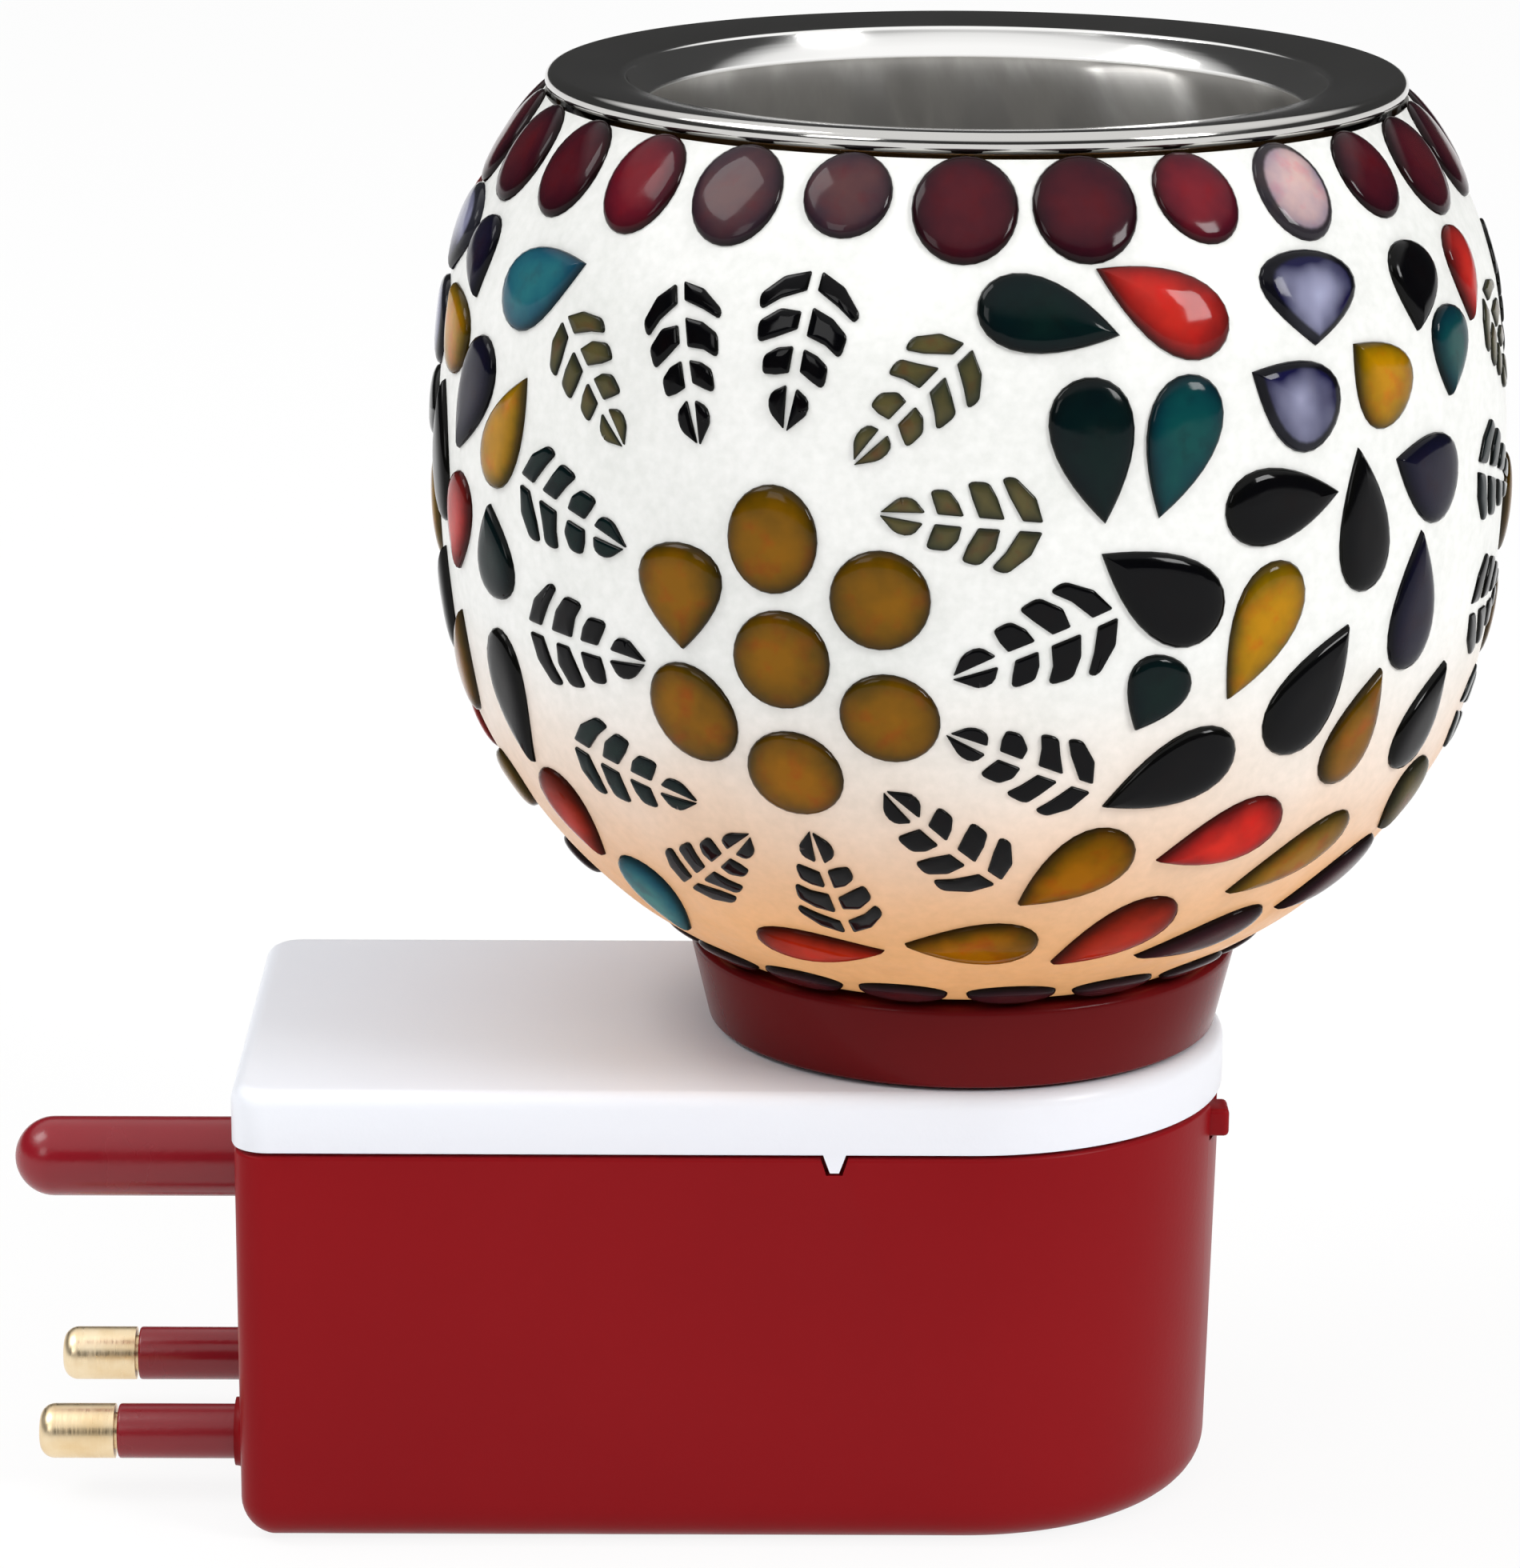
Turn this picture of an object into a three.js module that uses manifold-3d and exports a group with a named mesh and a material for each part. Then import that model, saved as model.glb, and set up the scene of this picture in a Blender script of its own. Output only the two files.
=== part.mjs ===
// Plug-in electric camphor burner: a small lamp under a mosaic glass globe warms a steel dish.
// Millimetres, +Z up. The origin is the point under the globe's axis on the underside of the
// plug housing, and the plug pins point along -X.

import * as THREE from "three";
import { mergeVertices } from "three/addons/utils/BufferGeometryUtils.js";
import Module from "manifold-3d";

const wasm = await Module();
wasm.setup();

// Fit between pieces that seat on, in or beside each other
const CLEARANCE = 0.3;

// Plug housing
const HOUSING_REACH = 62.4; // globe axis to plug face
const HOUSING_WIDTH = 45.6;
const HOUSING_HEIGHT = 35.6;
const HOUSING_DRAFT = 0.7; // how far the sides lean in at the bottom
const HOUSING_WALL = 2;
const HOUSING_FLOOR = 2.2;
const FOOT_RADIUS = 3.6;
const PLUG_CORNER_RADIUS = 3;

// Top cover
const COVER_HEIGHT = 5.4;
const COVER_PLATE = 2;
const COVER_OVERHANG = 0.2;
const COVER_EDGE_RADIUS = 1.4;
const TONGUE_DEPTH = 2.4;
const TONGUE_THICKNESS = 1.2;
const TAB_X = -11.5;
const TAB_WIDTH = 2.3;
const TAB_DROP = 1.2;

// Cover screws
const SCREW_LENGTH = 16;
const SCREW_RADIUS = 1.4;
const SCREW_HEAD_RADIUS = 2.4;
const SCREW_HEAD_HEIGHT = 1.8;
const SCREW_SOCKET_WIDTH = 0.8;
const SCREW_DEPTH = 8; // from the underside to the screw heads
const SCREW_SETBACK = 16; // from the plug face to the rear screws
const SCREW_SPREAD = 31.2;
const SCREW_ANGLE = 56; // degrees either side of the round end
const BOSS_WALL = 1.2;
const BOSS_SHOULDER = 4;

// Plug pins, laid out as a three-pin 6 A plug
const PIN_SPACING = 19.05;
const EARTH_OFFSET = 22.23;
const PIN_HEIGHT = 5.6;
const PIN_RADIUS = 2.4;
const PIN_REACH = 18.4;
const PIN_SHANK_RADIUS = 1.6;
const PIN_TAIL = 4;
const SLEEVE_LENGTH = 11.5;
const EARTH_RADIUS = 3.525;
const EARTH_REACH = 21.1;
const PIN_FLARE = 1.2; // rounded rims round the pin holes
const INSERT_PLATE = 1.8;
const INSERT_WIDTH = 37;
const INSERT_RIB = 1.6;
const INSERT_RIB_REACH = 5;

// Slide switch in the round end
const SWITCH_Y = -3.5;
const SWITCH_WIDTH = 12;
const SWITCH_DEPTH = 5.8;
const SWITCH_HEIGHT = 5.6;
const SWITCH_TRAVEL = 4;
const SWITCH_SLOT = 2.6;
const THUMB_WIDTH = 3.4;
const THUMB_HEIGHT = 2.5;
const THUMB_DROP = 0.7; // below the seam
const THUMB_PROUD = 1.1;
const THUMB_ROUNDING = 1;
const CRADLE_WALL = 1.4;
const LEDGE_WIDTH = 1.6;
const LEDGE_THICKNESS = 1.5;
const TERMINAL_SPACING = 5.2;
const TERMINAL_WIDTH = 2.2;
const TERMINAL_SHEET = 0.8;
const TERMINAL_LENGTH = 3.4;
const TERMINAL_ROOT = 1.2;

// Collar that the globe stands in
const COLLAR_HEIGHT = 7.6;
const COLLAR_FOOT_RADIUS = 22.1;
const COLLAR_RIM_RADIUS = 23.9;
const COLLAR_WALL = 1.8;
const COLLAR_FLOOR = 2;
const COLLAR_EDGE = 0.5;
const GASKET_THICKNESS = 1.2;

// Lamp holder and the ring that clamps collar and cover to it
const HOLDER_RADIUS = 12.4;
const HOLDER_FLANGE_WIDTH = 1.4;
const HOLDER_FLANGE = 2;
const HOLDER_SKIRT_RADIUS = 11;
const HOLDER_SKIRT_WALL = 1.8;
const HOLDER_RISE = 17;
const HOLDER_NOSE = 4;
const HOLDER_NOSE_RADIUS = 10.4;
const HOLDER_WEB = 3.2;
const SHELL_SHEET = 0.6;
const SHELL_MOUTH_RADIUS = 4.5;
const SHELL_SETBACK = 1;
const LEAF_SHEET = 0.5;
const LEAF_RISE = 2.1;
const LEAF_LENGTH = 6;
const LEAF_WIDTH = 3;
const STUD_RADIUS = 1;
const BLOCK_LENGTH = 4.4;
const BLOCK_WIDTH = 6;
const BLOCK_HEIGHT = 5;
const BLOCK_SPACING = 5.9;
const BLOCK_SCREW_RADIUS = 1.1;
const BLOCK_SCREW_LENGTH = 2.4;
const BLOCK_SCREW_HEAD_RADIUS = 1.6;
const BLOCK_SCREW_HEAD = 1.1;
const SHADE_RING_HEIGHT = 4.5;
const SHADE_RING_WALL = 3.6;
const SHADE_RING_GRIPS = 8;
const GRIP_RADIUS = 1;

// Lamp
const CAP_RADIUS = 6.7;
const CAP_SHEET = 0.5;
const CAP_LENGTH = 14.5;
const CAP_MOUTH_RADIUS = 3.4;
const INSULATOR_HEIGHT = 2.2;
const INSULATOR_RADIUS = 6;
const TIP_RADIUS = 2.4;
const TIP_HEIGHT = 1.1;
const NECK_DEPTH = 11; // of the bulb's neck in its cap
const BULB_RADIUS = 12.5;
const BULB_HEIGHT = 35; // above the cap
const BULB_GLASS = 0.8;
const STEM_RADIUS = 1.9;
const STEM_RISE = 6;
const FILAMENT_SPREAD = 4.5;
const FILAMENT_RISE = 13;
const FILAMENT_RADIUS = 0.4;

// Globe
const GLOBE_RADIUS = 45.5;
const GLOBE_HEIGHT = 73;
const GLOBE_BELLY = 42; // height of the widest line above the globe's foot
const GLOBE_FOOT_RADIUS = 22.9;
const GLOBE_LIFT = 0.6; // from the collar's rim to the globe's foot
const GLASS_WALL = 2.4;
const GROUT_THICKNESS = 1.2;
const LIP_WIDTH = 1.4;
const LIP_RISE = 1;

// Steel dish, whose rim also sets the globe's mouth
const DISH_RADIUS = 36.3;
const DISH_DEPTH = 3.1;
const DISH_WELL_RADIUS = 30.1; // outside, under the broad flat rim
const DISH_FLOOR_RADIUS = 28.2;
const DISH_SHEET = 0.7;
const DISH_WALL_LEAN = 0.4;
const DISH_FILLET = 1.2; // height of the round between floor and wall
const BEAD_RADIUS = 0.9;

// Mosaic: flowers spaced round the globe, a row of tiles at its mouth and clusters of drops between
// the flowers. Ways up are measured along the globe's side from its foot, angles in degrees.
const FLOWERS = 3;
const FLOWER_ANGLE = -21.5; // of the first flower, from the front
const FLOWER_UP = 42.6;
const PETALS = 6;
const PETAL_RING = 9.8;
const PETAL_ANGLE = 94;
const PETAL_SIZE = 8.4;
const MOUTH_TILES = 26;
const MOUTH_TILE_ANGLE = -3.5;
const MOUTH_TILE_LENGTH = 9.4;
const MOUTH_TILE_WIDTH = 8.4;
const MOUTH_MARGIN = 0.4; // of bare grout above the row
const TILE_RISE = 0.75;
const TILE_BURY = 0.8;
const TILE_SHOULDER = 0.5; // height of a tile's edge before its low crown
const TILE_SPREAD = 1.08; // of a tile's buried foot
const TILE_CROWN = 0.88; // of its shoulder
const DROP_LAG = 0.35; // how far behind its middle a drop is widest, as a share of half its length

// Inner leads
const LEAD_RADIUS = 1.1;
const LEAD_STRAIGHT = 10; // from a pin's tail to the first bend

// Facets
const ROUND_SIDES = 16;
const SMALL_SIDES = 10;
const GLOBE_SIDES = 36;
const GLASS_STEPS = 10;
const LINING_STEPS = 5;
const GROUT_SIDES = 30;
const GROUT_STEPS = 8;
const DISC_SIDES = 5;
const DROP_SIDES = 4;
const BULB_STEPS = 4;
const END_STEPS = 18;
const CORNER_STEPS = 4;
const FILLET_STEPS = 3;
const PIN_FLARE_STEPS = 2;
const BEAD_STEPS = 6;
const WELD = 1e-4;

// Heights and places that follow from the sizes above
const QUARTER = Math.PI / 2;
const HALF_WIDTH = HOUSING_WIDTH / 2;
const PLUG_FACE_X = -HOUSING_REACH;
const SEAM_Z = HOUSING_HEIGHT;
const COVER_FOOT_Z = SEAM_Z + CLEARANCE;
const COVER_TOP_Z = COVER_FOOT_Z + COVER_HEIGHT;
const COVER_UNDER_Z = COVER_TOP_Z - COVER_PLATE;
const COLLAR_FOOT_Z = COVER_TOP_Z + CLEARANCE;
const COLLAR_FLOOR_Z = COLLAR_FOOT_Z + COLLAR_FLOOR;
const COLLAR_TOP_Z = COLLAR_FOOT_Z + COLLAR_HEIGHT;
const COLLAR_BORE_RADIUS = COLLAR_FOOT_RADIUS - COLLAR_WALL;
const HOLDER_HOLE_RADIUS = HOLDER_RADIUS + CLEARANCE;
const FLANGE_RADIUS = HOLDER_RADIUS + HOLDER_FLANGE_WIDTH;
const FLANGE_TOP_Z = COVER_UNDER_Z - CLEARANCE;
const FLANGE_FOOT_Z = FLANGE_TOP_Z - HOLDER_FLANGE;
const WEB_TOP_Z = FLANGE_FOOT_Z + HOLDER_WEB;
const HOLDER_TOP_Z = FLANGE_TOP_Z + HOLDER_RISE;
const SHELL_INNER_RADIUS = CAP_RADIUS + CLEARANCE;
const SHELL_RADIUS = SHELL_INNER_RADIUS + SHELL_SHEET;
const SHELL_FOOT_Z = WEB_TOP_Z + CLEARANCE;
const LEAF_TOP_Z = SHELL_FOOT_Z + LEAF_RISE + LEAF_SHEET;
const BLOCK_TOP_Z = FLANGE_FOOT_Z - CLEARANCE;
const BLOCK_FOOT_Z = BLOCK_TOP_Z - BLOCK_HEIGHT;
const TIP_Z = LEAF_TOP_Z + CLEARANCE;
const INSULATOR_Z = TIP_Z + TIP_HEIGHT + CLEARANCE;
const CAP_Z = INSULATOR_Z + INSULATOR_HEIGHT + CLEARANCE;
const CAP_TOP_Z = CAP_Z + CAP_LENGTH;
const BULB_NECK_RADIUS = CAP_RADIUS - CAP_SHEET - CLEARANCE;
const BULB_NECK_Z = CAP_TOP_Z - NECK_DEPTH;
const BULB_TOP_Z = CAP_TOP_Z + BULB_HEIGHT;
const STEM_TOP_Z = CAP_TOP_Z + STEM_RISE;
const GLOBE_FOOT_Z = COLLAR_TOP_Z + GLOBE_LIFT;
const GLOBE_TOP_Z = GLOBE_FOOT_Z + GLOBE_HEIGHT;
const NECK_RADIUS = COLLAR_BORE_RADIUS - CLEARANCE;
const NECK_INNER_RADIUS = NECK_RADIUS - GLASS_WALL;
const GASKET_Z = COLLAR_FLOOR_Z + CLEARANCE;
const NECK_FOOT_Z = GASKET_Z + GASKET_THICKNESS + CLEARANCE;
const LIP_Z = GLOBE_TOP_Z + LIP_RISE;
const LIP_RADIUS = DISH_RADIUS - 2 * BEAD_RADIUS - CLEARANCE;
const LIP_INNER_RADIUS = LIP_RADIUS - LIP_WIDTH;
const DISH_RIM_UNDER_Z = LIP_Z + CLEARANCE;
const DISH_RIM_Z = DISH_RIM_UNDER_Z + DISH_SHEET;
const INSERT_X = PLUG_FACE_X + HOUSING_WALL + CLEARANCE;
const INSERT_BACK_X = INSERT_X + INSERT_PLATE;
const EARTH_HEIGHT = PIN_HEIGHT + EARTH_OFFSET;
const THUMB_TOP_Z = SEAM_Z - THUMB_DROP;
const THUMB_FOOT_Z = THUMB_TOP_Z - THUMB_HEIGHT;
const SWITCH_FOOT_Z = THUMB_TOP_Z - SWITCH_HEIGHT;
const SWITCH_CORNER_Y = Math.abs(SWITCH_Y) + SWITCH_WIDTH / 2;
const SWITCH_FRONT_X = chord(HALF_WIDTH - HOUSING_WALL - HOUSING_DRAFT, SWITCH_CORNER_Y) - CLEARANCE;
const SWITCH_BACK_X = SWITCH_FRONT_X - SWITCH_DEPTH;
const THUMB_Y = SWITCH_Y - SWITCH_TRAVEL / 2;
const SLOT_HALF_WIDTH = (SWITCH_TRAVEL + THUMB_WIDTH) / 2 + CLEARANCE;
const BOSS_RADIUS = SCREW_HEAD_RADIUS + CLEARANCE + BOSS_WALL;
const COVER_BOSS_RADIUS = SCREW_RADIUS + CLEARANCE / 2 + BOSS_WALL;
const BOSS_TOP_Z = SCREW_DEPTH + SCREW_HEAD_HEIGHT + CLEARANCE + BOSS_SHOULDER;
const SCREW_CIRCLE = FLANGE_RADIUS + CLEARANCE + COVER_BOSS_RADIUS;
const SCREW_SPOTS = screwSpots();

// Half the length of a chord that crosses a circle at an offset from its centre
function chord(radius, offset) {
  return Math.sqrt(radius * radius - offset * offset);
}

// Two screws near the plug face and two round the lamp holder
function screwSpots() {
  const angle = THREE.MathUtils.degToRad(SCREW_ANGLE);
  const rear = new THREE.Vector2(PLUG_FACE_X + SCREW_SETBACK, SCREW_SPREAD / 2);
  const front = new THREE.Vector2(Math.cos(angle), Math.sin(angle)).multiplyScalar(SCREW_CIRCLE);
  return [rear, front].flatMap(({ x, y }) => [new THREE.Vector2(x, -y), new THREE.Vector2(x, y)]);
}

// A closed geometry as a solid that can be joined and cut
function toSolid(geometry) {
  const bare = geometry.clone();
  bare.deleteAttribute("normal");
  bare.deleteAttribute("uv");
  const welded = mergeVertices(bare, WELD);
  const vertProperties = new Float32Array(welded.attributes.position.array);
  const triVerts = new Uint32Array(welded.index.array);
  return new wasm.Manifold(new wasm.Mesh({ numProp: 3, vertProperties, triVerts }));
}

function toGeometry(solid) {
  const { vertProperties, triVerts } = solid.getMesh();
  const geometry = new THREE.BufferGeometry();
  geometry.setAttribute("position", new THREE.BufferAttribute(vertProperties, 3));
  geometry.setIndex(new THREE.BufferAttribute(triVerts, 1));
  return geometry;
}

function join(first, ...others) {
  return toGeometry(others.reduce((sum, other) => sum.add(toSolid(other)), toSolid(first)));
}

function cut(first, ...tools) {
  return toGeometry(tools.reduce((sum, tool) => sum.subtract(toSolid(tool)), toSolid(first)));
}

// Box between two corners, in any order
function block(x0, x1, y0, y1, z0, z1) {
  const box = new THREE.BoxGeometry(Math.abs(x1 - x0), Math.abs(y1 - y0), Math.abs(z1 - z0));
  return box.translate((x0 + x1) / 2, (y0 + y1) / 2, (z0 + z1) / 2);
}

// Solid of revolution about +Z from a profile of [radius, height] pairs
function revolve(profile, sides = ROUND_SIDES) {
  const points = profile.map(([radius, height]) => new THREE.Vector2(radius, height));
  return new THREE.LatheGeometry(points, sides).rotateX(QUARTER);
}

// Solid of revolution whose profile doesn't reach the axis
function revolveRing(profile, sides = ROUND_SIDES) {
  return revolve([...profile, profile[0]], sides);
}

// Upright rod between two heights
function rod(radius, z0, z1, sides = ROUND_SIDES) {
  return revolve([[0, z0], [radius, z0], [radius, z1], [0, z1]], sides);
}

// Turns a piece made along +Z to point out of the plug face at a given place
function outOfPlug(geometry, y, z) {
  return geometry.rotateY(-QUARTER).translate(PLUG_FACE_X, y, z);
}

// Points along an arc, both ends included
function arc(centreX, centreY, radius, from, to, steps) {
  return Array.from({ length: steps + 1 }, (_, i) => {
    const angle = from + ((to - from) * i) / steps;
    return [centreX + radius * Math.cos(angle), centreY + radius * Math.sin(angle)];
  });
}

// Plan of the plug base: a flat plug end with small corners, straight sides and a half-round end.
// The side inset draws in the sides and the round end, the face inset the plug end.
function planOutline(sideInset, faceInset = sideInset) {
  const half = HALF_WIDTH - sideInset;
  const face = PLUG_FACE_X + faceInset;
  const corner = Math.max(PLUG_CORNER_RADIUS - faceInset, CLEARANCE);
  return [
    ...arc(0, 0, half, -QUARTER, QUARTER, END_STEPS),
    ...arc(face + corner, half - corner, corner, QUARTER, 2 * QUARTER, CORNER_STEPS),
    ...arc(face + corner, corner - half, corner, 2 * QUARTER, 3 * QUARTER, CORNER_STEPS),
  ];
}

// Skin over a run of plan outlines at given heights. A closed run joins its last ring to its first,
// an open one is capped at both ends.
function loft(rings, closed = false) {
  const count = rings[0].outline.length;
  const positions = rings.flatMap(({ outline, z }) => outline.flatMap(([x, y]) => [x, y, z]));
  const index = [];
  const bands = closed ? rings.length : rings.length - 1;
  for (let ring = 0; ring < bands; ring += 1) {
    const low = ring * count;
    const high = ((ring + 1) % rings.length) * count;
    for (let i = 0; i < count; i += 1) {
      const j = (i + 1) % count;
      index.push(low + i, low + j, high + j, low + i, high + j, high + i);
    }
  }
  if (!closed) {
    const last = (rings.length - 1) * count;
    for (let i = 1; i < count - 1; i += 1) {
      index.push(0, i + 1, i, last, last + i, last + i + 1);
    }
  }
  const geometry = new THREE.BufferGeometry();
  geometry.setAttribute("position", new THREE.Float32BufferAttribute(positions, 3));
  geometry.setIndex(index);
  return geometry;
}

// Round tube along a smooth curve through the given points
function tube(points, radius, steps) {
  const section = new THREE.Shape().absarc(0, 0, radius, 0, 4 * QUARTER);
  const path = new THREE.CatmullRomCurve3(points.map((point) => new THREE.Vector3(...point)));
  return new THREE.ExtrudeGeometry(section, { extrudePath: path, steps, curveSegments: 4 });
}

// Flat outline in X and Z, given a thickness along Y about its middle plane
function plate(outline, thickness, y) {
  const shape = new THREE.Shape(outline.map(([x, z]) => new THREE.Vector2(x, z)));
  const slab = new THREE.ExtrudeGeometry(shape, { depth: thickness, bevelEnabled: false });
  return slab.rotateX(QUARTER).translate(0, y + thickness / 2, 0);
}

// Small V on the front edge of the cover, or the notch that it drops into
function vTab(margin, y0, y1) {
  const top = COVER_FOOT_Z + TAB_DROP / 2;
  const rise = (TAB_WIDTH / 2) * (top - SEAM_Z + TAB_DROP + margin) / (TAB_DROP + top - COVER_FOOT_Z);
  const tip = TAB_WIDTH / 4 + margin;
  const outline = [
    [TAB_X - rise - margin, top],
    [TAB_X - tip, SEAM_Z - TAB_DROP - margin],
    [TAB_X + tip, SEAM_Z - TAB_DROP - margin],
    [TAB_X + rise + margin, top],
  ];
  return plate(outline, y1 - y0, (y0 + y1) / 2);
}

// Room for the switch thumb over its whole travel, open at the top
function thumbSlot(x0, x1) {
  const foot = THUMB_FOOT_Z - CLEARANCE;
  return block(x0, x1, SWITCH_Y - SLOT_HALF_WIDTH, SWITCH_Y + SLOT_HALF_WIDTH, foot, SEAM_Z + 1);
}

// Rounded rim that rises from the plug face round a pin hole, before the hole is cut
function pinRim(hole) {
  const outer = hole + CLEARANCE + PIN_FLARE;
  const root = -HOUSING_WALL / 2;
  const cove = arc(outer, PIN_FLARE, PIN_FLARE, 3 * QUARTER, 2 * QUARTER, PIN_FLARE_STEPS);
  return revolve([[0, root], [outer, root], ...cove, [0, PIN_FLARE]]);
}

// Red tub with pin holes, screw bosses, guide ribs for the plug insert and a cradle for the switch
function lowerHousing() {
  const lean = (z) => HOUSING_DRAFT * (1 - z / HOUSING_HEIGHT);
  const rings = [];
  for (let step = 0; step <= FILLET_STEPS; step += 1) {
    const angle = (QUARTER * step) / FILLET_STEPS;
    const z = FOOT_RADIUS * (1 - Math.cos(angle));
    const draw = FOOT_RADIUS * (1 - Math.sin(angle));
    rings.push({ outline: planOutline(lean(z) + draw, draw), z });
  }
  rings.push({ outline: planOutline(0), z: SEAM_Z });
  rings.push({ outline: planOutline(HOUSING_WALL), z: SEAM_Z });
  const floorLean = lean(HOUSING_FLOOR);
  rings.push({ outline: planOutline(HOUSING_WALL + floorLean, HOUSING_WALL), z: HOUSING_FLOOR });
  const inside = HALF_WIDTH - HOUSING_WALL;
  const ribX = INSERT_BACK_X + CLEARANCE;
  const ribTop = SEAM_Z - TONGUE_DEPTH - CLEARANCE;
  const ribFloor = HOUSING_FLOOR - CLEARANCE;
  const bury = CLEARANCE / 2;
  const ribs = [-1, 1].map((side) => {
    const outer = side * (inside + bury);
    const inner = side * (inside - INSERT_RIB_REACH);
    return block(ribX, ribX + INSERT_RIB, inner, outer, ribFloor, ribTop);
  });
  const cradleY = SWITCH_WIDTH / 2 + CLEARANCE;
  const ledgeTop = SWITCH_FOOT_Z - CLEARANCE;
  const cradle = [-1, 1].flatMap((side) => {
    const near = SWITCH_Y + side * cradleY;
    const far = near + side * CRADLE_WALL;
    const ledge = near - side * LEDGE_WIDTH;
    const wallX = chord(inside + bury, Math.max(Math.abs(near), Math.abs(far)));
    return [
      block(SWITCH_BACK_X, wallX, near, far, ribFloor, ribTop),
      block(SWITCH_BACK_X, wallX, ledge, far, ledgeTop - LEDGE_THICKNESS, ledgeTop),
    ];
  });
  const bosses = SCREW_SPOTS.map(({ x, y }) => {
    return rod(BOSS_RADIUS, ribFloor, BOSS_TOP_Z, SMALL_SIDES).translate(x, y, 0);
  });
  const pinHole = PIN_RADIUS + CLEARANCE;
  const earthHole = EARTH_RADIUS + CLEARANCE;
  const tub = join(
    loft(rings),
    ...ribs,
    ...cradle,
    ...bosses,
    outOfPlug(pinRim(earthHole), 0, EARTH_HEIGHT),
    outOfPlug(pinRim(pinHole), -PIN_SPACING / 2, PIN_HEIGHT),
    outOfPlug(pinRim(pinHole), PIN_SPACING / 2, PIN_HEIGHT),
  );
  const headRoom = SCREW_DEPTH + SCREW_HEAD_HEIGHT + CLEARANCE;
  const screwHoles = SCREW_SPOTS.flatMap(({ x, y }) => [
    rod(SCREW_HEAD_RADIUS + CLEARANCE, -1, headRoom, SMALL_SIDES).translate(x, y, 0),
    rod(SCREW_RADIUS + CLEARANCE, headRoom - 1, BOSS_TOP_Z + 1, SMALL_SIDES).translate(x, y, 0),
  ]);
  const throughFace = (radius) => rod(radius, -HOUSING_WALL - 1, PIN_FLARE + 1);
  return cut(
    tub,
    ...screwHoles,
    outOfPlug(throughFace(earthHole), 0, EARTH_HEIGHT),
    outOfPlug(throughFace(pinHole), -PIN_SPACING / 2, PIN_HEIGHT),
    outOfPlug(throughFace(pinHole), PIN_SPACING / 2, PIN_HEIGHT),
    thumbSlot(SWITCH_FRONT_X, HALF_WIDTH + 1),
    vTab(CLEARANCE, -HALF_WIDTH - 1, -HALF_WIDTH + HOUSING_WALL / 2 + CLEARANCE),
  );
}

// White lid: a shallow shell with a tongue that drops inside the tub and long screw bosses
function topCover() {
  const rings = [
    { outline: planOutline(HOUSING_WALL), z: COVER_UNDER_Z },
    { outline: planOutline(HOUSING_WALL), z: COVER_FOOT_Z },
    { outline: planOutline(-COVER_OVERHANG), z: COVER_FOOT_Z },
  ];
  for (let step = 0; step <= FILLET_STEPS; step += 1) {
    const angle = (QUARTER * step) / FILLET_STEPS;
    const draw = COVER_EDGE_RADIUS * (1 - Math.cos(angle)) - COVER_OVERHANG;
    const z = COVER_TOP_Z - COVER_EDGE_RADIUS * (1 - Math.sin(angle));
    rings.push({ outline: planOutline(draw), z });
  }
  const outer = HOUSING_WALL + CLEARANCE;
  const inner = outer + TONGUE_THICKNESS;
  const tongueFoot = SEAM_Z - TONGUE_DEPTH;
  const tongueTop = COVER_UNDER_Z + COVER_PLATE / 2;
  const bridgeTop = COVER_FOOT_Z + CLEARANCE;
  const tongue = loft([
    { outline: planOutline(outer), z: tongueFoot },
    { outline: planOutline(outer), z: COVER_FOOT_Z },
    { outline: planOutline(HOUSING_WALL / 2), z: COVER_FOOT_Z + CLEARANCE },
    { outline: planOutline(HOUSING_WALL / 2), z: tongueTop },
    { outline: planOutline(inner), z: tongueTop },
    { outline: planOutline(inner), z: tongueFoot },
  ], true);
  const bosses = SCREW_SPOTS.map(({ x, y }) => {
    return rod(COVER_BOSS_RADIUS, BOSS_TOP_Z + CLEARANCE, tongueTop, SMALL_SIDES).translate(x, y, 0);
  });
  const tab = vTab(0, -HALF_WIDTH - COVER_OVERHANG, -HALF_WIDTH + HOUSING_WALL / 2);
  const lid = join(loft(rings), tongue, tab, ...bosses);
  const pilots = SCREW_SPOTS.map(({ x, y }) => {
    const pilot = rod(SCREW_RADIUS + CLEARANCE / 2, BOSS_TOP_Z, SCREW_DEPTH + SCREW_LENGTH + 1, SMALL_SIDES);
    return pilot.translate(x, y, 0);
  });
  const gap = SWITCH_WIDTH / 2 + CRADLE_WALL + 2 * CLEARANCE;
  return cut(
    lid,
    ...pilots,
    rod(HOLDER_HOLE_RADIUS, COVER_UNDER_Z - 1, COVER_TOP_Z + 1),
    block(SWITCH_BACK_X, HALF_WIDTH, SWITCH_Y - gap, SWITCH_Y + gap, tongueFoot - 1, bridgeTop),
  );
}

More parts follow.
